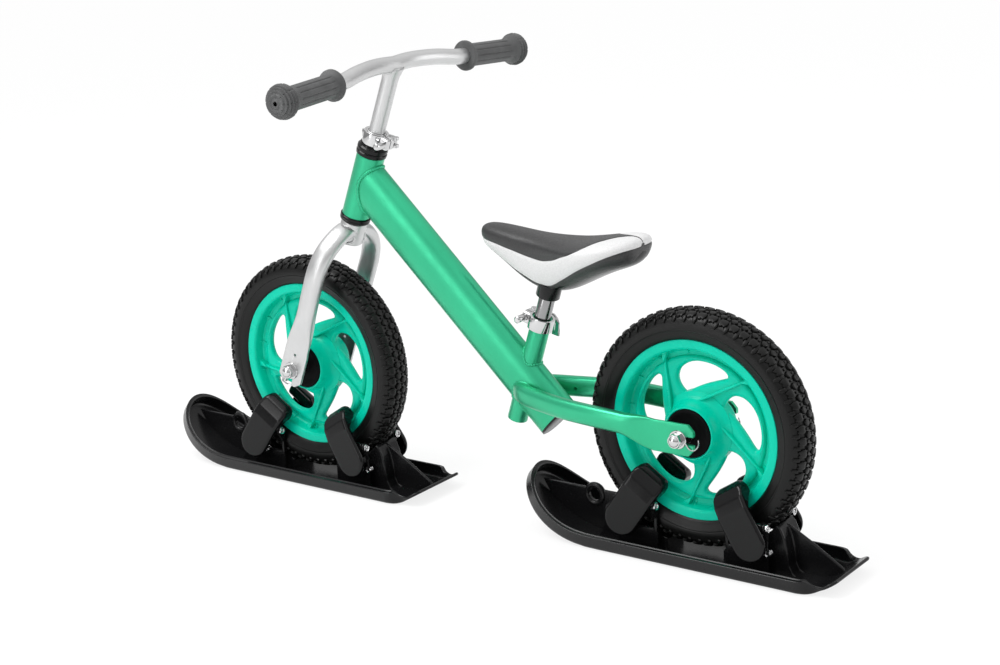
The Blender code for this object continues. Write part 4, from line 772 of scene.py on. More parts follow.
class WheelSettings(bpy.types.PropertyGroup):
    """Sizes of the tyres and wheels."""
    tyre_radius: metres("Tyre Radius", "Axle to the top of the tread", 0.1450, 0.13, 0.16)
    tread_pitches: whole("Tread Pitches", "Rows of blocks round the tyre", 62, 20, 100)
    block_height: metres("Block Height", "Height of the tread blocks", 0.0030, 0.001, 0.006)
    segments: whole("Segments", "Steps round a wheel", 128, 32, 256)


class FrameSettings(bpy.types.PropertyGroup):
    """Sizes of the tubes' finish."""
    bead_radius: metres("Weld Bead", "Radius of the weld beads", 0.0019, 0.0005, 0.004)
    tube_sides: whole("Tube Sides", "Points round a tube's section", 64, 16, 128)
    grip_grooves: whole("Grip Grooves", "Grooves along each grip", 12, 4, 40)


class SkiSettings(bpy.types.PropertyGroup):
    """Sizes of the skis' details."""
    mould_step: metres("Mould Step", "Face size of the moulded pieces", 0.0009, 0.0005, 0.003)
    spring_turns: whole("Spring Turns", "Turns in each clamp spring", 6, 3, 20)


class SaddleSettings(bpy.types.PropertyGroup):
    """How the cushion swells and where its seams lie."""
    pressure: amount("Pressure", "Air pressure in the cushion", 4.0, max=20.0)
    swell_limit: metres("Swell Limit", "Furthest a point may move", 0.0030, 0.0, 0.02)
    seam_depth: metres("Seam Depth", "Depth of the sewn seams", 0.0011, 0.0, 0.004)


class ColourSettings(bpy.types.PropertyGroup):
    """Colours of the finishes."""
    frame_green: tint("Frame Green", "Colour of the paint", (0.024, 0.400, 0.205))
    wheel_turquoise: tint("Wheel Turquoise", "Wheel plastic", (0.0003, 0.520, 0.355))
    light_metal: tint("Light Metal", "Fork, stem and bar", (0.550, 0.552, 0.554))
    plating: tint("Plating", "Clamps, levers, post and nuts", (0.580, 0.580, 0.585))
    dark_steel: tint("Dark Steel", "Locknuts", (0.10, 0.10, 0.105))
    ski_black: tint("Ski Black", "Plastic of skis and arms", (0.0055, 0.0055, 0.0060))
    tyre_grey: tint("Tyre Grey", "Foam of the tyres", (0.0030, 0.0031, 0.0030))
    grip_grey: tint("Grip Grey", "Rubber of the grips", (0.085, 0.086, 0.087))
    cover_black: tint("Cover Black", "Dark cover of the saddle", (0.022, 0.022, 0.023))
    cover_white: tint("Cover White", "Pale bands of the saddle", (0.660, 0.660, 0.662))


class StageSettings(bpy.types.PropertyGroup):
    """Light and floor of the studio."""
    key_power: amount("Key Light", "Power of the large upper light", 40.0, subtype="POWER")
    side_power: amount("Side Light", "Power of the two strip lights", 9.0, subtype="POWER")
    world_light: amount("Room Light", "Strength of the room's light", 0.76, max=3.0)
    floor_glow: amount("Floor Glow", "Share of the floor that stays white", 0.81, max=1.0,
                       subtype="FACTOR")


def settings(name):
    """One group of settings from the scene."""
    return getattr(bpy.context.scene, name)


FINISHES = {}
FINISH_KINDS = {
    "green paint": (metallic_paint, "frame_green", 1, 0.34),
    "turquoise plastic": (moulded_plastic, "wheel_turquoise", 1, 0.30, 700.0, 0.00001, 1.10, 0.12),
    "satin metal": (satin_metal, "light_metal", 1, 0.34),
    "bright plating": (bright_plating, "plating", 1, 0.07),
    # The seat post's plating is the clamps' plating at half brightness: painted shade.
    "post plating": (bright_plating, "plating", 0.50, 0.10),
    "dark steel": (bright_plating, "dark_steel", 1, 0.30),
    "black plastic": (moulded_plastic, "ski_black", 1, 0.27),
    "smooth black plastic": (moulded_plastic, "ski_black", 0.5, 0.20, 1500.0, 0.000005, 1.4, 0.24),
    "flat black plastic": (moulded_plastic, "ski_black", 0.6, 0.62, 1500.0, 0.000008, 1.4, 0.06),
    "tyre foam": (foam_rubber, "tyre_grey", 1, 0.38),
    "grip rubber": (foam_rubber, "grip_grey", 1, 0.55, 1800.0),
    # The leatherettes' last number darkens their grain valleys: painted shade.
    "dark leatherette": (leatherette, "cover_black", 1, 0.40, 0.6),
    "pale leatherette": (leatherette, "cover_white", 1, 0.46, 0.90),
}


def finish(name):
    """A shared material by its plain name, made when it is first asked for."""
    if name not in FINISHES:
        maker, colour, factor, *values = FINISH_KINDS[name]
        colour = shade(getattr(settings("bike_colours"), colour), factor)
        FINISHES[name] = maker(name, colour, *values)
    return FINISHES[name]


# Wheels

def tread_curve():
    """Half width and radius over the tread from the crown to the shoulder, with its length."""
    crown = settings("bike_wheels").tyre_radius - settings("bike_wheels").block_height
    knots = [(0.0, 0.0), (0.0070, 0.0004), (0.0135, 0.0019), (0.0188, 0.0050),
             (0.0219, 0.0095), (0.0230, 0.0145), (0.0231, 0.0185)]
    line = curve_through([Vector((width, crown - drop, 0)) for width, drop in knots], 6)
    line = np.array([(point.x, point.y) for point in line])
    length = np.concatenate([[0], np.cumsum(np.linalg.norm(np.diff(line, axis=0), axis=1))])
    return line, length


def tyre_body():
    """The foam tyre without its blocks, about the axle."""
    line, _ = tread_curve()
    half = [(RIM_SEAT_RADIUS + 0.0002, RIM_HALF_WIDTH - 0.0047), (0.1098, 0.0170),
            (0.1106, 0.0184), (0.1122, 0.0196), (0.1150, 0.0208), (0.1185, 0.0219),
            (0.1208, 0.0225), (0.1216, 0.0230), (0.1226, 0.0226)]
    half += [(radius, width) for width, radius in line[::-1][:-1]]
    profile = half + [(line[0][1], 0.0)] + [(radius, -width) for radius, width in reversed(half)]
    return turned(profile, settings("bike_wheels").segments, AXIS_TO_Y, closed=True)


def tread_block(outline, height, edge):
    """One block with a soft edge, as levels of (along, across, lift)."""
    centre = np.mean(outline, axis=0)
    size = np.mean([math.dist(point, centre) for point in outline])

    def level(inset, lift):
        scale = 1 - inset / size
        return [(centre[0] + scale * (along - centre[0]), centre[1] + scale * (across - centre[1]),
                 lift) for along, across in outline]

    return [level(-0.0004, -0.0008), level(0, height - edge),
            level(0.3 * edge, height - 0.3 * edge), level(edge, height),
            level(0.55 * size, height + 0.0001)]


def tread_blocks():
    """All the blocks of one tyre, about the axle."""
    wheels = settings("bike_wheels")
    line, length = tread_curve()
    pitch = 2 * math.pi * TREAD_MIDDLE_RADIUS / wheels.tread_pitches
    hexagon = [(0.0044 * math.cos(turn), 0.0048 + 0.0043 * math.sin(turn))
               for turn in (math.radians(60 * corner) for corner in range(6))]
    kinds = ((hexagon, 0, 1, 0.0011), (WEDGE_BLOCK, 0.5, 0.55, 0.0006),
             (PLATE_BLOCK, 0.42, 0.86, 0.0012), (OUTER_BLOCK, 0.94, 0.72, 0.0009))
    points, faces = [], []
    for side, offset in ((1, 0), (-1, 0.5 * pitch)):
        for outline, shift, share, edge in kinds:
            placed = [(x + offset + shift * pitch, side * y) for x, y in outline][::side]
            levels = tread_block(placed, share * wheels.block_height, edge)
            count, start = len(placed), len(points)
            points += [point for ring in levels for point in ring]
            faces += faces_between(len(levels), count, start)
            faces.append(tuple(range(len(points) - count, len(points))))
    points = np.array(points)
    across = np.abs(points[:, 1])

    def curve(column, shift=0.0):
        return np.interp(across + shift, length, line[:, column])

    width_slope, radius_slope = (curve(k, TREAD_STEP) - curve(k, -TREAD_STEP) for k in (0, 1))
    size = np.hypot(width_slope, radius_slope)
    radius = curve(1) + points[:, 2] * width_slope / size
    width = np.sign(points[:, 1]) * (curve(0) - points[:, 2] * radius_slope / size)
    all_points, all_faces = [], []
    for index in range(wheels.tread_pitches):
        angle = points[:, 0] / TREAD_MIDDLE_RADIUS + 2 * math.pi * index / wheels.tread_pitches
        all_points.append(np.stack([radius * np.cos(angle), width, radius * np.sin(angle)], 1))
        all_faces += [tuple(index * len(points) + number for number in face) for face in faces]
    return edited(mesh_of(np.concatenate(all_points), all_faces), face_outward)


def closed_curve(knots, steps):
    """A smooth closed outline through flat points."""
    points = []
    for index in range(len(knots)):
        one, two, three, four = (Vector(knots[(index + shift) % len(knots)])
                                 for shift in (-1, 0, 1, 2))
        for step in range(steps):
            t = step / steps
            points.append(0.5 * (2 * two + (three - one) * t
                                 + (2 * one - 5 * two + 4 * three - four) * t * t
                                 + (3 * two - 3 * three + four - one) * t ** 3))
    return points


def turbine_wheel():
    """The wheel about its axle: soft-edged openings, hub, channelled rim, blades and gussets."""
    steps = settings("bike_wheels").segments
    outlines = [[polar(DISC_RADIUS, angle) for angle in around(steps)]]
    parts = []
    for turn in around(SPOKE_COUNT):
        knots = [polar(radius / 1000, math.radians(angle) + turn) for radius, angle in OPENING]
        outlines.append([tuple(point) for point in closed_curve(knots, 6)])
        foot = Vector((*polar(HUB_RADIUS - 0.002, math.radians(61.5) + turn), 0))
        head = Vector((*polar(0.0940, math.radians(134.0) + turn), 0))
        reach = (head - foot).length
        along = (head - foot).normalized()
        side = [(0, HUB_HALF_WIDTH - 0.0008)]
        side += [(share * reach, half) for share, half in (
            (0.13, 0.0160), (0.26, 0.0132), (0.50, 0.0110), (0.80, 0.0098), (0.94, 0.0086),
            (1, 0.0060))]
        parts.append(moved(plate([mirrored_profile(side)], 0.0034, round_edge=0.0013),
                           upright(along.x, along.y, foot.x, foot.y)))
        gusset = [polar(radius, math.radians(angle) + turn) for radius, angle in (
            (0.0985, 134.0), (0.0985, 140.0), (0.0860, 131.5))]
        parts.append(moved(plate([gusset], 2 * 0.0108, round_edge=0.0010), OUTLINE_TO_XZ))
    disc = moved(plate(outlines, DISC_THICKNESS, round_edge=0.0048), OUTLINE_TO_XZ)
    parts.insert(0, moved(disc, Matrix.Translation((0, 0.0008, 0))))
    parts.append(turned(mirrored_profile(RIM_PROFILE), steps, AXIS_TO_Y, closed=True))
    parts.append(turned(mirrored_profile(HUB_PROFILE), 96, AXIS_TO_Y, closed=True))
    mark = plate([mirrored_profile(TICK_PROFILE)], 0.0012)
    parts += [moved(mark, upright(*polar(1, angle))) for angle in around(TICK_COUNT, 0.4)]
    return joined(parts)


def hub_disc():
    """The black hub cap on the left, with a shallow dish round its bore."""
    bore, base = AXLE_RADIUS + 0.0006, HUB_HALF_WIDTH + CLEARANCE
    face = lifted([(bore, -0.0004), (0.0098, -0.0004), (0.0108, -0.0014), (0.0225, -0.0014),
                   (0.0245, -0.0002), (0.0272, -0.0001), (0.0286, -0.0006), (0.0293, -0.0018)],
                  HUB_CAP_FACE)
    return turned(face + [(0.0293, base), (bore, base)], 72, AXIS_TO_Y, closed=True)


def axle_fittings(place):
    """The left domed nut on its washer, the safety hook and the locknut."""
    face = DROPOUT_MIDDLE + DROPOUT_THICKNESS / 2 + CLEARANCE
    washer = turned(lifted([(0.0050, 0), (0.0112, 0), (0.0114, 0.0006), (0.0108, 0.0016),
                            (0.0050, 0.0018)], face), 48, closed=True)
    hexagon = rod(0.0090, 0.0080, 6, Matrix.Translation((0, 0, face + 0.0016 + 0.0040)))
    cone = turned(lifted([(0, 0.0016), (0.0092, 0.0016), (0.0092, 0.0076), (0.0079, 0.0098),
                          (0, 0.0098)], face), 48)
    hexagon = bevelled(combined(hexagon, cone, "INTERSECT"), 0.0003, 2)
    dome = [(0.0068, face + 0.0086)]
    for angle in (math.radians(90 * step / 8) for step in range(9)):
        dome.append((0.0066 * math.cos(angle), face + 0.0094 + 0.0040 * math.sin(angle)))
    wire = tube_along(curve_through([Vector((x, y, face + z)) for x, y, z in HOOK_LINE], 5),
                      0.0009, 10)
    locknut = turned(lifted([(0.0049, 0.0006), (0.0088, 0.0006), (0.0098, 0.0016),
                             (0.0098, 0.0070), (0.0070, 0.0080)], HUB_CAP_FACE)
                     + [(0.0070, 0.0478), (0.0049, 0.0478)], 48, closed=True)
    nut = joined([washer, hexagon, turned(dome, 48)])
    return [moved(moved(mesh, AXIS_TO_Y), place) for mesh in (nut, wire, locknut)]


# Skis

def on_ski(station, y, lift):
    """A point at a distance along the sole, across it and above it, about the axle."""
    if station > SKI_SOLE_FRONT:
        slope = (station - SKI_SOLE_FRONT) / SKI_NOSE_RADIUS
        x = SKI_SOLE_FRONT + SKI_NOSE_RADIUS * math.sin(slope)
        z = SKI_NOSE_RADIUS * (1 - math.cos(slope))
    elif station < -SKI_SOLE_REAR:
        run = -SKI_SOLE_REAR - station
        bend = min(run / SKI_TAIL_RADIUS, SKI_TAIL_ANGLE)
        straight = run - bend * SKI_TAIL_RADIUS
        x = -SKI_SOLE_REAR - SKI_TAIL_RADIUS * math.sin(bend) - straight * math.cos(bend)
        z = SKI_TAIL_RADIUS * (1 - math.cos(bend)) + straight * math.sin(bend)
        slope = -bend
    else:
        x, z, slope = station, 0.0, 0.0
    return Vector((x - lift * math.sin(slope), y, z + lift * math.cos(slope) - AXLE_HEIGHT))


def ski_outline():
    """Points round the pan's upper edge as (along the sole, across, share of the flange)."""
    half = SKI_HALF_WIDTH + SKI_FLANGE * math.tan(math.radians(10))
    start = SKI_SOLE_FRONT + SKI_NOSE_START
    reach = SKI_SOLE_FRONT + SKI_NOSE_REACH - start
    end = -SKI_SOLE_REAR - SKI_TAIL_RADIUS * SKI_TAIL_ANGLE - SKI_TAIL_LENGTH
    corner, rows = 0.0130, 18
    side = [(start + reach * math.cos(angle) ** (2 / 2.2), half * math.sin(angle))
            for angle in (math.pi / 2 * step / 24 for step in range(25))]
    side += [(start - (start + SKI_TAPER_START) * step / 18, half) for step in range(1, 19)]
    side += [(-SKI_TAPER_START + (end + corner + SKI_TAPER_START) * share,
              ease(half, SKI_TAIL_HALF_WIDTH, share))
             for share in (step / rows for step in range(1, rows + 1))]
    side += [(end + corner * (1 - math.sin(angle)),
              SKI_TAIL_HALF_WIDTH - corner * (1 - math.cos(angle)))
             for angle in (math.pi / 2 * step / 8 for step in range(1, 9))]
    side += [(end, (SKI_TAIL_HALF_WIDTH - corner) * share) for share in (0.75, 0.5, 0.25, 0.0)]
    points = []
    for station, y in side + [(station, -y) for station, y in reversed(side[1:-1])]:
        rise = on_ski(min(station, 0.0), 0, 0).z + AXLE_HEIGHT
        points.append((station, y, 1 - ease(0, 1, rise / 0.0105)))
    return points


def ski_pan():
    """The pan with a ledge and a raised bead round its edge, about the axle."""
    outline = ski_outline()
    floor = (1.0, 0.8, 0.6, 0.4, 0.2)

    def ring(depth, lift, plain=None):
        points = []
        for station, y, flange in outline:
            middle = min(max(station, SKI_FLOOR_END), SKI_SOLE_FRONT + SKI_NOSE_START)
            reach = math.hypot(station - middle, y)
            inset, high = depth, lift
            if plain:
                inset = plain[0] + (depth - plain[0]) * flange
                high = plain[1] + (lift - plain[1]) * flange
            share = inset if depth > 0.15 else min(inset / reach, 0.9)
            points.append(on_ski(station + (middle - station) * share, y * (1 - share), high))
        return points

    half = 0.5 * SKI_WALL
    plain_edge = [(0.0085 - 0.0065 * k / 5, 0.0) for k in range(6)]
    plain_edge += [(half * (1 - math.sin(math.pi * k / 8)), half * (1 - math.cos(math.pi * k / 8)))
                   for k in range(9)]
    plain_edge += [(0.0020 + 0.0130 * (k / 6) ** 1.3, SKI_WALL) for k in range(1, 7)]
    rings = [ring(share, 0.0) for share in floor]
    rings += [ring(*edge, plain) for edge, plain in zip(SKI_SECTION, plain_edge)]
    rings += [ring(share, SKI_WALL) for share in reversed(floor)]
    return skin(rings, caps=False)


def ski_blocks():
    """Chocks, ribs, cradles, ears and tow eye in one moulding, cut clear of the tyre."""
    floor = SKI_WALL / 2 - AXLE_HEIGHT
    eye = TOW_EYE_HEIGHT - AXLE_HEIGHT
    keel = [on_ski(station, 0, 0.0025)
            for station in (0.262, 0.245, 0.225, 0.200, 0.175, 0.150, 0.125)]
    keel = [(point.x, point.z) for point in keel if point.x < RIB_END + 0.01][1:]
    parts = []
    for outline, width in ((CHOCK_WALL, 2 * 0.0190), (CHOCK_WEB, 0.0036),
                           (CHOCK_FRONT, 2 * CHOCK_HALF_WIDTH), (CHOCK_RIB, 0.0034)):
        points = [(x, z - AXLE_HEIGHT) for x, z in outline]
        if outline is CHOCK_RIB:
            points += keel
        parts.append(bevelled(moved(plate([points], width), OUTLINE_TO_XZ), 0.0012, 2, 30))
    for reach in (-0.042, 0.042):
        parts.append(block((0.008, 0.038, 0.0177), (reach, 0, floor + 0.0088)))
    pin = ARM_PIN_HEIGHT - AXLE_HEIGHT
    inner = TYRE_HALF_WIDTH + 0.0014
    head = [(ARM_PIN_OFFSET + 0.0056 * math.cos(angle), pin + 0.0056 * math.sin(angle))
            for angle in (math.radians(20 * step - 20) for step in range(12))]
    ear = plate([[(inner, floor), (inner + 0.0040, floor), (inner + 0.0040, pin - 0.0170)]
                 + head + [(inner, pin - 0.0060)]], 0.0038)
    station = KNUCKLE_HALF + 0.0025
    for reach in (-ARM_PIN_REACH, ARM_PIN_REACH):
        for _, side in SIDES:
            for offset in (-station, station):
                place = side @ Matrix.Translation((reach + offset, 0, 0)) @ OUTLINE_TO_YZ
                parts.append(moved(ear, place))
            parts.append(moved(block((2 * station, 0.0032, 0.030), (
                reach, inner + 0.0020, floor + 0.015)), side))
    space = rod(settings("bike_wheels").tyre_radius + 0.0007, 2 * TYRE_HALF_WIDTH + 0.0024, 96,
                AXIS_TO_Y)
    body = moulded(joined([cut(part, space) for part in parts]), settings("bike_skis").mould_step,
                   3, 0.55)
    ring = [Vector((TOW_EYE_REACH + x, 0, eye + z))
            for x, z in (polar(0.0118, angle) for angle in around(48))]
    hole = rod(0.0080, 0.02, 32, Matrix.Translation((TOW_EYE_REACH, 0, eye)) @ AXIS_TO_Y)
    return joined([cut(body, hole), tube_along(ring, 0.0036, 14, closed=True)])


def clamp_arm():
    """The front left clamp arm about its pin, a moulded shell with side flanges."""
    tip = RIM_HALF_WIDTH + 0.0006
    high, low, flange, wall = 0.0455, 0.0500, 0.0075, 0.0030
    half = ARM_HALF_WIDTH + 0.0022
    side = [(ARM_LOW, low), (0.0180, high), (0.0320, high - 0.0035),
            (ARM_TOP - 0.006, high - 0.011), (ARM_TOP, high - 0.020), (ARM_TOP - 0.002, tip),
            (0.030, tip), (0.025, tip + 0.009), (0.016, high - flange), (ARM_LOW, low - flange)]
    hollow = [(ARM_LOW + wall, low - wall), (0.014, high - wall), (0.010, 0.020),
              (ARM_LOW + wall, 0.020)]
    face = [(ARM_LOW + half - half * math.cos(angle), half * math.sin(angle))
            for angle in (math.radians(90 - 10 * step) for step in range(19))]
    face += [(ARM_TOP - 0.010, -half), (ARM_TOP - 0.003, -half + 0.003), (ARM_TOP, -half + 0.010),
             (ARM_TOP, half - 0.010), (ARM_TOP - 0.003, half - 0.003), (ARM_TOP - 0.010, half)]
    scale = (half - wall) / half
    inner = [(max(s * scale, ARM_LOW + wall), w * scale) for s, w in face]
    shell, core = (combined(plate([outline], 3 * half), moved(plate([ends], 0.2), OUTLINE_TO_XZ),
                            "INTERSECT") for outline, ends in ((side, face), (hollow, inner)))
    shell = bevelled(tidied(shell, 0.00001), 0.0050, 5, 32)
    place = Matrix.Translation((0, -ARM_PIN_OFFSET, 0)) @ upright(
        -math.sin(ARM_LEAN), math.cos(ARM_LEAN))
    depth = high - ARM_PIN_OFFSET
    body = joined([moved(cut(shell, core), place), rod(0.0052, 2 * KNUCKLE_HALF, 32, AXIS_TO_X),
                   block((0.024, depth, 0.006), (0, depth / 2, 0))])
    body = moulded(body, settings("bike_skis").mould_step * 0.8, 16, 0.45)
    return cut(body, rod(0.0026, 0.08, 24, AXIS_TO_X))


def arm_pin():
    """A clamp pin with a domed head to the rear."""
    front, rear = KNUCKLE_HALF + 0.0053, -(KNUCKLE_HALF + 0.0050)
    return turned([(0, front), (0.0021, front), (0.0025, front - 0.0006)]
                  + lifted(PIN_HEAD, rear), 32, AXIS_TO_X)


def clamp_spring():
    """A coil spring along Y behind an arm, about its own middle."""
    turns = settings("bike_skis").spring_turns
    path = []
    for share in (step / (turns * 20) for step in range(turns * 20 + 1)):
        x, z = polar(SPRING_RADIUS, 2 * math.pi * turns * share)
        path.append(Vector((x, SPRING_HALF_LENGTH * (2 * share - 1), z)))
    return tube_along(path, 0.00055, 8)


# Frame

def down_tube_ring(station, grow, count):
    """One section of the down tube."""
    place = DOWN_TUBE_END + station * DOWN_TUBE_DIRECTION
    up = Vector((0, 0, 1))
    first = (up - up.dot(DOWN_TUBE_DIRECTION) * DOWN_TUBE_DIRECTION).normalized()
    second = DOWN_TUBE_DIRECTION.cross(first)
    return [place + a * first + b * second for a, b in superellipse(
        DOWN_TUBE_HALF_HEIGHT + grow, DOWN_TUBE_HALF_WIDTH + grow, 2.25, count)]


def down_tube_shell(count, grow=0.0, start=0.0, end=None):
    """The down tube's outer form between two stations."""
    end = DOWN_TUBE_LENGTH if end is None else end
    return skin([down_tube_ring(start + (end - start) * k / 24, grow, count) for k in range(25)])


def chainstay(count):
    """The left chainstay about the rear axle, with the outline it leaves the down tube by."""
    unit = DROPOUT_HALF_HEIGHT
    shares = [(1.000, 0.151, 1.000), (0.922, 0.453, 1.000), (0.781, 0.689, 0.957),
              (0.625, 0.887, 0.939), (0.449, 0.991, 0.896)]
    knots = [Vector((STAY_REACH * x, STAY_SPREAD * y, STAY_RISE * z)) for x, y, z in shares]
    knots += [Vector((3.7 * unit, STAY_SPREAD, 0.70 * STAY_RISE)),
              Vector((2.2 * unit, DROPOUT_MIDDLE + 0.0008, 0.17 * STAY_RISE))]
    path = curve_through(knots, 7)
    sections = []
    for point in path:
        share = min(max((3.95 - point.x / unit) / 1.84, 0), 1)
        sections.append((ease(STAY_HALF_HEIGHT, unit - 0.0006, share),
                         ease(STAY_HALF_WIDTH, DROPOUT_THICKNESS / 2 + 0.0004, share),
                         2.5 + 3 * share))
    rear = -DROPOUT_BEYOND
    for x, half in ((1.79 * unit, unit), (rear + 0.37 * unit, unit), (rear, 0.6 * unit)):
        path.append(Vector((x, DROPOUT_MIDDLE, 0)))
        sections.append((half, DROPOUT_THICKNESS / 2, 9))
    rings = swept_rings(path, sections, Vector((0, 0, 1)), count)
    body = skin(rings)
    radius = AXLE_RADIUS + CLEARANCE
    hole = rod(radius, 0.02, 32, Matrix.Translation((0, DROPOUT_MIDDLE, 0)) @ AXIS_TO_Y)
    slot = block((0.03, 0.02, 2 * radius), (-0.015, DROPOUT_MIDDLE, 0))
    drain = rod(0.0022, 0.012, 20, Matrix.Translation((0.196, 0.028, 0.010)) @ AXIS_TO_Y)
    body = cut(body, hole, slot, drain)
    leaves = [Vector(point) for point in rings[8]]
    return bevelled(body, 0.0005, 2, 45), leaves, (path[0] - path[8]).normalized()


def fork_leg(count):
    """The left fork leg about the steering axis."""
    unit = DROPOUT_HALF_HEIGHT
    shares = [(0.073, 0.940), (0.291, 0.938), (0.573, 0.896), (0.845, 0.818), (0.991, 0.705),
              (1.000, 0.544), (0.967, 0.332)]
    knots = [Vector((0, FORK_SPREAD * y, CROWN_HEIGHT * z)) for y, z in shares]
    knots.append(Vector((FORK_OFFSET, DROPOUT_MIDDLE + 0.0006, 1.9 * unit)))
    path = curve_through(knots, 7)
    sections = []
    for point in path:
        share = min(max((4.63 - point.z / unit) / 2.63, 0), 1)
        sections.append((ease(0.01375, unit - 0.0006, share),
                         ease(0.00875, DROPOUT_THICKNESS / 2 + 0.0003, share),
                         2.4 + 3 * share))
    foot = -DROPOUT_BEYOND
    for z, half in ((1.47 * unit, unit), (foot + 0.42 * unit, unit), (foot, 0.58 * unit)):
        path.append(Vector((FORK_OFFSET, DROPOUT_MIDDLE, z)))
        sections.append((half, DROPOUT_THICKNESS / 2, 9))
    rings = swept_rings(path, sections, Vector((1, 0, 0)), count)
    body = skin(rings)
    radius = AXLE_RADIUS + CLEARANCE
    hole = rod(radius, 0.02, 32,
               Matrix.Translation((FORK_OFFSET, DROPOUT_MIDDLE, 0)) @ AXIS_TO_Y)
    slot = block((2 * radius, 0.02, 0.03), (FORK_OFFSET, DROPOUT_MIDDLE, -0.015))
    eyelet = rod(0.0021, 0.02, 20,
                 Matrix.Translation((FORK_OFFSET, DROPOUT_MIDDLE, 0.024)) @ AXIS_TO_Y)
    body = cut(body, rod(CROWN_RADIUS - 0.0002, 1.0, 48), hole, slot, eyelet)
    leaves = [Vector(point) for point in rings[14]]
    return bevelled(body, 0.0005, 2, 45), leaves, Vector((0, -1, 0.12)).normalized()


def bar_line():
    """Half of the bar's centre line, from the middle to the left end."""
    knots = [Vector((0, 0, 0)), Vector((0.0004, 0.034, 0.0012)), Vector((-0.0055, 0.074, -0.0004)),
             Vector((-0.0103, 0.107, -0.0048)), Vector((-0.0115, BAR_BEND_HALF, -0.0062))]
    return curve_through(knots, 9)


def bar_shell(grow=0.0):
    """The handlebar about its middle."""
    half = bar_line()
    half.append(half[-1] + BAR_END_DIRECTION * (BAR_HALF_LENGTH - BAR_BEND_HALF))
    points = [Vector((point.x, -point.y, point.z)) for point in reversed(half[1:])] + half
    return tube_along(points, BAR_RADIUS + grow, 48)


def grip():
    """A grip along Z: flange, grooved barrel and a mushroom end with ringed ridges."""
    end = GRIP_LENGTH
    grooves = settings("bike_frame").grip_grooves
    profile = []
    for share in (step / 48 for step in range(49)):
        angle = math.pi * (0.02 + 0.66 * share)
        ridge = 0.00085 * math.cos(2 * math.pi * 7 * share)
        out, along = math.sin(angle), math.cos(angle)
        profile.append((max(GRIP_END_RADIUS * out ** 0.72 + ridge * out, 0.0),
                        end - 0.0130 * (1 - along) + ridge * along))
    profile += [(GRIP_RADIUS + 0.0016, end - 0.0245), (GRIP_RADIUS + 0.0002, end - 0.0265),
                (GRIP_RADIUS, end - 0.0285)]
    profile += [(GRIP_RADIUS, end - 0.0285 - (end - 0.0385) * step / 30) for step in range(1, 31)]
    profile += [(GRIP_RADIUS + 0.0006, 0.0084), (GRIP_FLANGE_RADIUS - 0.0012, 0.0056),
                (GRIP_FLANGE_RADIUS, 0.0044), (GRIP_FLANGE_RADIUS + 0.0001, 0.0020),
                (GRIP_FLANGE_RADIUS - 0.0008, 0.0004), (GRIP_FLANGE_RADIUS - 0.0030, 0.0),
                (BAR_RADIUS + 0.0002, 0.0), (BAR_RADIUS + 0.0002, 0.0100)]
    rings = []
    for radius, height in profile:
        in_barrel = ease(0, 1, (height - 0.0105) / 0.003) * ease(
            0, 1, (end - 0.0300 - height) / 0.003)
        in_bulb = ease(0, 1, (height - end + 0.0190) / 0.004) * ease(0, 1, (radius - 0.006) / 0.005)
        ring = []
        for angle in around(grooves * 12):
            dip = max(0.0, math.cos(grooves * angle)) ** 6 * 0.0010 * in_barrel
            dip += max(0.0, math.cos(8 * angle)) ** 40 * 0.0009 * in_bulb
            ring.append((*polar(radius - dip, angle), height))
        rings.append(ring)
    return skin(rings, caps=False)


# Saddle

def saddle_levels(share):
    """Half width and the heights of top, widest line, seam and hull from tail 0 to nose 1."""
    tail = max(0.0, 1 - share / 0.42)
    nose = max(0.0, (share - 0.42) / 0.58)
    top = SADDLE_TOP + 0.0135 * tail ** 1.6 + 0.0070 * nose ** 2
    top -= 0.0035 * math.sin(math.pi * min(max(share, 0), 1)) ** 2
    half = ease(SADDLE_TAIL_HALF, SADDLE_NOSE_HALF, (share - 0.08) / 0.64)
    sag = ease(0, 1, (share - 0.05) / 0.50) if share < 0.6 else ease(0, 1, (1 - share) / 0.38)
    hull = SADDLE_TOP - SADDLE_END_DEPTH * (1 - 0.12 * nose) - 0.0380 * sag
    widest = top - SADDLE_END_DEPTH * (0.394 + 0.106 * tail)
    return half, top, widest, hull


def band_angle(table, share):
    """Angle of a band's edge round the section at a share of the length, its corners eased."""
    shares, angles = zip(*table)
    return sum(math.radians(float(np.interp(share + offset * BAND_EASE, shares, angles)))
               for offset in (-1, -0.5, 0, 0.5, 1)) / 5


def saddle_station(step, steps):
    """Share of the length, closing, place along X, the pale band's lower edge and the skirt."""
    turn = math.pi * (step + 0.35) / (steps + 0.70)
    share = (1 - math.cos(turn)) / 2
    close = math.sin(turn) ** (0.62 if share < 0.5 else 0.44)
    lower = band_angle(BAND_LOWER, share)
    skirt = min(lower - math.radians(9), -math.radians(58))
    return share, close, SADDLE_TAIL + share * (SADDLE_NOSE - SADDLE_TAIL), lower, skirt


def both_sides(left):
    """A section from its left half, the crown or keel point used once."""
    return left + [(x, -y, z) for x, y, z in reversed(left[:-1])]


def saddle_point(share, angle, close):
    """A point of the saddle's section at an angle from its widest line."""
    half, top, widest, hull = saddle_levels(share)
    middle = 0.55 * top + 0.45 * hull + 0.12 * SADDLE_END_DEPTH
    half = half * min(1.0, close * 1.04)
    top, widest, hull = [middle + (z - middle) * ease(0.25, 1, close * 1.1)
                         for z in (top, widest, hull)]
    side, rise = math.cos(angle), math.sin(angle)
    if rise < 0:
        y = half * abs(side) ** 0.9
        z = widest - (widest - hull) * abs(rise) ** (1 / 0.9)
    else:
        y = half * abs(side) ** 0.8
        z = widest + (top - widest) * rise ** 0.85
    return y, z


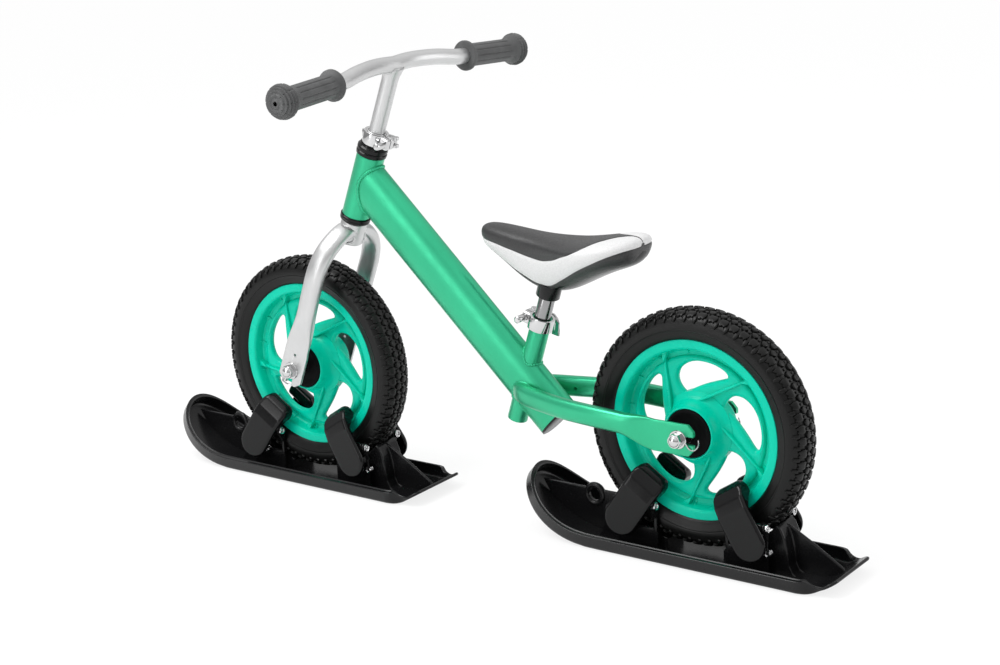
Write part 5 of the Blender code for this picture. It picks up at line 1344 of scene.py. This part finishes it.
def saddle_cover():
    """The sewn cover from its skirt over the crown, with its faces numbered dark 0 and pale 1."""
    steps, low, band, top = 110, 9, 15, 15
    rings = []
    for step in range(steps + 1):
        share, close, x, lower, foot = saddle_station(step, steps)
        upper, crown = band_angle(BAND_UPPER, share), math.pi / 2
        angles = [foot + (lower - foot) * k / low for k in range(low)]
        angles += [lower + (upper - lower) * k / band for k in range(band)]
        angles += [upper + (crown - upper) * k / top for k in range(top + 1)]
        rings.append(both_sides([(x, *saddle_point(share, angle, close)) for angle in angles]))
    count = len(rings[0])
    points = [point for ring in rings for point in ring]
    faces, numbers = [], []
    for row in range(steps):
        for index in range(count - 1):
            a, b = row * count + index, (row + 1) * count + index
            faces.append((a, a + 1, b + 1, b))
            column = min(index, count - 2 - index)
            numbers.append(int(low <= column < low + band))
    faces += [tuple(range(count)), tuple(range(len(points) - count, len(points)))]
    mesh = mesh_of(points, faces)
    for polygon, number in zip(mesh.polygons, numbers + [0, 0]):
        polygon.material_index = number

    def mirrored_columns(columns):
        return {row * count + place for row in range(steps + 1) for column in columns
                for place in (column, count - 1 - column)}

    held = mirrored_columns(range(low - 2))
    held |= {row * count + column for row in (0, 1, 2, steps - 2, steps - 1, steps)
             for column in range(count)}
    return mesh, sorted(mirrored_columns((low, low + band))), sorted(held), (steps + 1, count)


def swollen(mesh, held, shape):
    """Where the cover's points go when the cushion under it presses out, as an array."""
    start = np.array([vertex.co[:] for vertex in mesh.vertices])
    saddle = settings("bike_saddle")
    obj = bpy.data.objects.new("cushion_test", mesh.copy())
    bpy.context.scene.collection.objects.link(obj)
    obj.vertex_groups.new(name="held").add(held, 1.0, "REPLACE")
    cloth = obj.modifiers.new("cloth", "CLOTH")
    values = {"quality": 6, "mass": 0.3, "tension_stiffness": 30, "compression_stiffness": 30,
              "shear_stiffness": 15, "bending_stiffness": 2.0, "use_pressure": True,
              "uniform_pressure_force": saddle.pressure, "vertex_group_mass": "held"}
    for name, value in values.items():
        setattr(cloth.settings, name, value)
    cloth.settings.effector_weights.gravity = 0
    cloth.collision_settings.use_collision = False
    for number in range(1, 21):
        bpy.context.scene.frame_set(number)
    graph = bpy.context.evaluated_depsgraph_get()
    result = obj.evaluated_get(graph).to_mesh()
    shift = np.array([vertex.co[:] for vertex in result.vertices]) - start
    obj.evaluated_get(graph).to_mesh_clear()
    bpy.data.objects.remove(obj)
    bpy.context.scene.frame_set(1)
    size = np.linalg.norm(shift, axis=1, keepdims=True)
    shift *= np.minimum(1, saddle.swell_limit / np.maximum(size, 1e-9))
    field = shift.reshape(*shape, 3)
    for _ in range(12):
        inner = (field[:-2, 1:-1] + field[2:, 1:-1] + field[1:-1, :-2] + field[1:-1, 2:]) / 4
        field[1:-1, 1:-1] = 0.5 * field[1:-1, 1:-1] + 0.5 * inner
    return start + field.reshape(-1, 3)


def saddle_hull():
    """The smooth hull under the cover."""
    steps, count = 72, 24
    rings = []
    for step in range(steps + 1):
        share, close, x, _, skirt = saddle_station(step, steps)
        seam = skirt + math.radians(5)
        left = []
        for k in range(count + 1):
            y, z = saddle_point(share, seam + (-math.pi / 2 - seam) * k / count, close)
            left.append((x, max(y - 0.0007, 0.0), z))
        rings.append(both_sides(left))
    return skin(rings)


# Operators

class BIKE_OT_tyres(bpy.types.Operator):
    """Makes the two foam tyres with their blocks of tread"""
    bl_idname = "bike.tyres"
    bl_label = "Tyres"

    def execute(self, context):
        whole = joined([tyre_body(), tread_blocks()])
        for prefix, place in ENDS:
            piece(prefix + "_tread_tyre", moved(whole, place), "tyre foam", prefix + "_tyre", 40)
        return {"FINISHED"}


class BIKE_OT_wheels(bpy.types.Operator):
    """Makes the turbine wheels with their hub caps, axles, nuts and washers"""
    bl_idname = "bike.wheels"
    bl_label = "Wheels"

    def execute(self, context):
        wheel, disc = turbine_wheel(), hub_disc()
        for prefix, place in ENDS:
            piece(prefix + "_turbine_wheel", moved(wheel, place), "turquoise plastic",
                  prefix + "_rim", 32)
            for side, mirror in SIDES:
                piece(prefix + "_hub_disc_" + side, moved(disc, place @ mirror),
                      "flat black plastic", prefix + "_hub_cap_" + side)
        fork_ends = STEERING_PLACE @ Matrix.Translation((FORK_OFFSET, 0, 0)) @ Matrix.Rotation(
            math.radians(-90), 4, "Y")
        for prefix, place in (("rear", REAR_PLACE), ("front", fork_ends)):
            for side, mirror in SIDES:
                nut, wire, locknut = axle_fittings(place @ mirror)
                node = prefix + "_axle_nut_" + side
                piece(prefix + "_domed_nut_" + side, nut, "bright plating", node)
                piece(prefix + "_safety_hook_" + side, wire, "bright plating", node, stands=False)
                piece(prefix + "_locknut_" + side, locknut, "dark steel", prefix + "_axle",
                      stands=False)
            NODES[prefix + "_axle"].data.materials.clear()
            NODES[prefix + "_axle"].data.materials.append(finish("bright plating"))
        return {"FINISHED"}


class BIKE_OT_skis(bpy.types.Operator):
    """Makes the two skis with their chocks, ears and tow eyes"""
    bl_idname = "bike.skis"
    bl_label = "Skis"

    def execute(self, context):
        pan, blocks = ski_pan(), ski_blocks()
        for prefix, place in ENDS:
            node = prefix + "_ski"
            piece(node + "_pan", moved(pan, place), "black plastic", node, 40)
            piece(node + "_chocks", moved(blocks, place), "black plastic", node, 55, False)
        return {"FINISHED"}


class BIKE_OT_clamp_arms(bpy.types.Operator):
    """Makes the eight clamp arms with their pins and springs"""
    bl_idname = "bike.clamp_arms"
    bl_label = "Clamp Arms"

    def execute(self, context):
        arm, pin, spring = clamp_arm(), arm_pin(), clamp_spring()
        for prefix, axle in (("rear", REAR_AXLE), ("front", FRONT_AXLE)):
            for end, mirror, reach in (("front", Matrix.Identity(4), 0.078),
                                       ("rear", MIRROR_X, -0.103)):
                for side, across in SIDES:
                    label = prefix + "_" + end + "_" + side
                    joint = Matrix.Translation(JOINTS[label + "_arm"]["pos_m"])
                    piece(label + "_moulded_arm", moved(arm, joint @ mirror @ across),
                          "smooth black plastic", label + "_arm", 60)
                    piece(label + "_domed_pin", moved(pin, joint), "bright plating",
                          label + "_arm_pin")
                    place = Matrix.Translation((
                        axle.x + reach, across[1][1] * SPRING_OFFSET, SPRING_HEIGHT))
                    piece(label + "_spring", moved(spring, place), "bright plating",
                          label + "_arm_pin", stands=False)
        return {"FINISHED"}


class BIKE_OT_frame_tubes(bpy.types.Operator):
    """Makes the painted frame with its weld beads"""
    bl_idname = "bike.frame_tubes"
    bl_label = "Frame"

    def execute(self, context):
        sides = settings("bike_frame").tube_sides
        green = "green paint"
        radius = settings("bike_frame").bead_radius
        head = rod(HEAD_TUBE_RADIUS + CLEARANCE, 0.2, 96, HEAD_PLACE)
        seat = rod(SEAT_TUBE_RADIUS + CLEARANCE, 0.2, 64, SEAT_PLACE)
        hollow = down_tube_shell(sides, -0.002, -0.01, DOWN_TUBE_LENGTH + 0.01)
        outer = down_tube_shell(sides)
        piece("down_tube_smooth", cut(outer, hollow, head, seat), green, "down_tube", 40)
        half = (HEAD_TOP - HEAD_BOTTOM) / 2
        profile = [(0.0150, half), (HEAD_TUBE_RADIUS - 0.0006, half),
                   (HEAD_TUBE_RADIUS, half - 0.0006)]
        piece("head_tube_smooth", turned(mirrored_profile(profile), 96, HEAD_PLACE, closed=True),
              green, "head_tube", 40)
        refined("seat_tube_smooth", "seat_tube", green, 0.0003, 2, 40)
        stay, leaves, towards = chainstay(40)
        left = cut(moved(stay, REAR_PLACE), down_tube_shell(sides, 0.0001, -0.01, 0.2))
        for side, mirror in SIDES:
            piece("chainstay_" + side + "_smooth", moved(left, mirror), green,
                  "chainstay_" + side, 40)
        start = [point + (DOWN_TUBE_LENGTH - 0.075) * DOWN_TUBE_DIRECTION
                 for point in down_tube_ring(0, 0, 160)]
        beads = [bead(start, DOWN_TUBE_DIRECTION, tree_of(head), 1.25 * radius, 46)]
        tube = tree_of(outer)
        for level, sign in ((SEAT_ABOVE, -1), (-SEAT_BELOW, 1)):
            beads.append(bead(circle_at(SEAT_PLACE, SEAT_TUBE_RADIUS, level), sign * SEAT_AXIS,
                              tube, 0.8 * radius, 26))
        weld = bead([REAR_PLACE @ point for point in leaves], towards, tube, 0.85 * radius, 18)
        beads += [weld, moved(weld, MIRROR_Y)]
        piece("frame_weld_beads", joined(beads), green, "down_tube", 60, False)
        refined("foot_plug", "down_tube_end_plug", "black plastic", 0.0005, 2, 40)
        return {"FINISHED"}


class BIKE_OT_headset(bpy.types.Operator):
    """Makes the two black headset cups"""
    bl_idname = "bike.headset"
    bl_label = "Headset"

    def execute(self, context):
        bore = STEERER_RADIUS + 0.0005
        for level, profile, height in (("lower", LOWER_CUP, HEAD_BOTTOM),
                                       ("upper", UPPER_CUP, HEAD_TOP + CLEARANCE)):
            profile = [(bore, profile[0][1]), *profile, (bore, profile[-1][1])]
            cup = turned(lifted(profile, height), 72, STEERING_PLACE, closed=True)
            piece(level + "_headset_cup", cup, "smooth black plastic", "headset_cup_" + level)
        return {"FINISHED"}


class BIKE_OT_fork(bpy.types.Operator):
    """Makes the fork with its steerer, crown, legs and weld beads"""
    bl_idname = "bike.fork"
    bl_label = "Fork"

    def execute(self, context):
        leg, leaves, towards = fork_leg(40)
        crown = tree_of(rod(CROWN_RADIUS, 0.3, 96, Matrix.Translation((0, 0, 0.2))))
        weld = bead(leaves, towards, crown, 0.9 * settings("bike_frame").bead_radius, 20)
        for side, mirror in SIDES:
            piece("fork_leg_" + side + "_smooth", moved(leg, STEERING_PLACE @ mirror),
                  "satin metal", "fork_leg_" + side, 40)
        refined("fork_crown_and_steerer", "fork_steerer", "satin metal", 0.0004, 2, 40)
        beads = joined([moved(weld, STEERING_PLACE @ mirror) for _, mirror in SIDES])
        piece("fork_weld_beads", beads, "satin metal", "fork_steerer", 60, False)
        return {"FINISHED"}


class BIKE_OT_handlebar(bpy.types.Operator):
    """Makes the bent handlebar and its stem"""
    bl_idname = "bike.handlebar"
    bl_label = "Handlebar"

    def execute(self, context):
        metal = "satin metal"
        piece("handlebar_smooth", moved(bar_shell(), BAR_PLACE), metal, "handlebar", 40)
        top, foot, bore = BAR_HEIGHT - 0.0020, STEERER_TOP - STEM_INSERTION, 0.0085
        profile = [(bore, top)] + [(STEM_RADIUS + wider, top - drop) for wider, drop in (
            (0.0030, 0), (0.0021, 0.0070), (0.0010, 0.0105), (0.0003, 0.0150), (0, 0.0200))]
        profile += [(STEM_RADIUS, foot + 0.0008), (STEM_RADIUS - 0.0008, foot), (bore, foot)]
        stem = turned(profile, 64, STEERING_PLACE, closed=True)
        piece("stem_smooth", cut(stem, moved(bar_shell(0.0001), BAR_PLACE)), metal,
              "handlebar_stem", 40)
        weld = bead(circle_at(STEERING_PLACE, STEM_RADIUS + 0.0022, top - 0.05), STEERING_AXIS,
                    tree_of(moved(bar_shell(), BAR_PLACE)), 0.0016, 22)
        piece("handlebar_weld_bead", weld, metal, "handlebar_stem", 60, False)
        return {"FINISHED"}


class BIKE_OT_grips(bpy.types.Operator):
    """Makes the two grooved rubber grips"""
    bl_idname = "bike.grips"
    bl_label = "Grips"

    def execute(self, context):
        start = bar_line()[-1] + BAR_END_DIRECTION * (
            BAR_HALF_LENGTH - BAR_BEND_HALF - GRIP_LENGTH + 0.0080)
        whole = moved(grip(), axis_place(start, BAR_END_DIRECTION))
        for side, mirror in SIDES:
            piece("grip_" + side + "_ribbed", moved(whole, BAR_PLACE @ mirror), "grip rubber",
                  "grip_" + side, 50)
        return {"FINISHED"}


class BIKE_OT_clamps(bpy.types.Operator):
    """Makes the two quick-release clamps with their bolts and levers"""
    bl_idname = "bike.clamps"
    bl_label = "Clamps"

    def execute(self, context):
        for clamp in ("seat_clamp", "stem_clamp"):
            refined(clamp + "_ring", clamp, "bright plating", 0.0005, 3, 30)
            refined(clamp + "_spindle", clamp + "_bolt", "bright plating", 0.0003, 2, 30)
            refined(clamp + "_handle", clamp + "_lever", "bright plating", 0.0005, 3, 25)
        return {"FINISHED"}


class BIKE_OT_saddle(bpy.types.Operator):
    """Makes the padded saddle with its sewn cover, hull and post"""
    bl_idname = "bike.saddle"
    bl_label = "Saddle"

    def execute(self, context):
        mesh, seams, held, shape = saddle_cover()
        for vertex, place in zip(mesh.vertices, swollen(mesh, held, shape)):
            vertex.co = place
        mesh.update()
        normals = {index: mesh.vertices[index].normal.copy() for index in seams}
        for index, normal in normals.items():
            mesh.vertices[index].co -= normal * settings("bike_saddle").seam_depth
        mesh = modified(edited(mesh, face_outward), "SUBSURF", levels=1, render_levels=1)
        cover = piece("saddle_cover", moved(mesh, SADDLE_PLACE),
                      ("dark leatherette", "pale leatherette"), "saddle_pad", 60)
        bore = SEAT_POST_RADIUS + CLEARANCE
        socket = turned([(bore, 0.1163), (0.0138, 0.1160), (0.0150, 0.1172), (0.0150, 0.1340),
                         (bore, 0.1340)], 48, SEAT_PLACE, closed=True)
        piece("saddle_hull", joined([moved(saddle_hull(), SADDLE_PLACE), socket]), "black plastic",
              "saddle_base", 50)
        # The post's plating is a darker copy of the clamps' plating: painted shade.
        refined("seat_post_polished", "seat_post", "post plating", 0.0004, 2, 40)
        return {"FINISHED"}


class BIKE_OT_stage(bpy.types.Operator):
    """Makes the floor, the lights, the room and the camera"""
    bl_idname = "bike.stage"
    bl_label = "Stage"

    def execute(self, context):
        stage = settings("bike_stage")
        scene = context.scene
        scene.view_settings.view_transform = "Standard"
        azimuth, elevation, roll = (math.radians(angle) for angle in CAMERA_ANGLES)
        back = Vector((math.sin(azimuth) * math.cos(elevation),
                       -math.cos(azimuth) * math.cos(elevation), math.sin(elevation)))
        right = (-back).cross(Vector((0, 0, 1))).normalized()
        up = right.cross(-back)
        right, up = (math.cos(roll) * right + math.sin(roll) * up,
                     math.cos(roll) * up - math.sin(roll) * right)
        lens = bpy.data.cameras.new("camera")
        lens.sensor_width = 36
        lens.lens = 36 * CAMERA_FOCAL_PIXELS / 1000
        lens.clip_start = 0.05
        camera = bpy.data.objects.new("camera", lens)
        scene.collection.objects.link(camera)
        camera.matrix_world = Matrix.Translation(
            Vector(CAMERA_AIM) + CAMERA_DISTANCE * back) @ Matrix(
                (right, up, back)).transposed().to_4x4()
        scene.camera = camera

        rows = 24
        points = [(FLOOR_SIZE * (row / rows - 0.5), FLOOR_SIZE * (column / rows - 0.5), 0.0)
                  for row in range(rows + 1) for column in range(rows + 1)]
        faces = [(a, a + rows + 1, a + rows + 2, a + 1) for row in range(rows)
                 for a in range(row * (rows + 1), row * (rows + 1) + rows)]
        floor = bpy.data.objects.new("studio_floor", mesh_of(points, faces))
        scene.collection.objects.link(floor)
        ground = bpy.data.materials.new("studio floor")
        nodes = emptied(ground)
        matt = nodes.node("ShaderNodeBsdfDiffuse", {"Color": (0.98, 0.98, 0.98)})
        glow = nodes.node("ShaderNodeEmission", {"Color": (1.0, 1.0, 1.0), "Strength": 1.0})
        shader = nodes.node("ShaderNodeMixShader", {
            0: seen(nodes, 0.5) * stage.floor_glow, 1: matt, 2: glow})
        nodes.node("ShaderNodeOutputMaterial", {"Surface": shader})
        floor.data.materials.append(ground)

        scene.world = bpy.data.worlds.new("studio room")
        nodes = emptied(scene.world)
        direction = nodes.node("ShaderNodeTexCoord", output="Generated")
        height = nodes.node("ShaderNodeSeparateXYZ", {"Vector": direction}, "Z")
        light = nodes.spread(height, 0.0, 0.9, 0.27, 1.62) * stage.world_light
        room, white = (nodes.node("ShaderNodeBackground", {
            "Color": (1.0, 1.0, 1.0), "Strength": strength}) for strength in (light, 1.0))
        shader = nodes.node("ShaderNodeMixShader", {0: seen(nodes, 0.2), 1: room, 2: white})
        nodes.node("ShaderNodeOutputWorld", {"Surface": shader})

        target = Vector((0.0, 0.0, 0.22))
        for name, offset, width, height, power in (
                ("key_light", (-1.3, 2.0, 0.9), 1.5, 1.1, stage.key_power),
                ("side_light", (2.2, 0.7, 0.3), 0.7, 1.6, stage.side_power),
                ("front_light", (-1.9, 0.1, 1.4), 0.5, 1.5, stage.side_power)):
            light = bpy.data.lights.new(name, "AREA")
            light.shape = "RECTANGLE"
            light.size, light.size_y, light.energy = width, height, power
            lamp = bpy.data.objects.new(name, light)
            scene.collection.objects.link(lamp)
            lamp.location = target + (right * offset[0] + up * offset[1] + back * offset[2])
            lamp.rotation_euler = (target - lamp.location).to_track_quat("-Z", "Y").to_euler()
        return {"FINISHED"}


OPERATORS = [BIKE_OT_tyres, BIKE_OT_wheels, BIKE_OT_skis, BIKE_OT_clamp_arms,
             BIKE_OT_frame_tubes, BIKE_OT_headset, BIKE_OT_fork, BIKE_OT_handlebar,
             BIKE_OT_grips, BIKE_OT_clamps, BIKE_OT_saddle, BIKE_OT_stage]
SETTINGS = {"bike_wheels": WheelSettings, "bike_frame": FrameSettings, "bike_skis": SkiSettings,
            "bike_saddle": SaddleSettings, "bike_colours": ColourSettings,
            "bike_stage": StageSettings}


class BIKE_PT_pieces(bpy.types.Panel):
    """Lists the settings and the operators in the sidebar"""
    bl_idname = "BIKE_PT_pieces"
    bl_label = "Balance Bike"
    bl_space_type = "VIEW_3D"
    bl_region_type = "UI"
    bl_category = "Bike"

    def draw(self, context):
        for name, group in SETTINGS.items():
            box = self.layout.box()
            for setting in group.__annotations__:
                box.prop(getattr(context.scene, name), setting)
        column = self.layout.column(align=True)
        for operator in OPERATORS:
            column.operator(operator.bl_idname)


def register():
    """Registers the settings, the operators and the panel."""
    for name, group in SETTINGS.items():
        bpy.utils.register_class(group)
        setattr(bpy.types.Scene, name, PointerProperty(type=group))
    for operator in OPERATORS:
        bpy.utils.register_class(operator)
    bpy.utils.register_class(BIKE_PT_pieces)


def unregister():
    """Takes away what register added."""
    bpy.utils.unregister_class(BIKE_PT_pieces)
    for operator in reversed(OPERATORS):
        bpy.utils.unregister_class(operator)
    for name, group in SETTINGS.items():
        delattr(bpy.types.Scene, name)
        bpy.utils.unregister_class(group)


def main():
    """Makes the stage and every piece."""
    register()
    for operator in [BIKE_OT_stage] + OPERATORS[:-1]:
        getattr(bpy.ops.bike, operator.bl_idname.split(".")[1])()


if __name__ == "__main__":
    main()
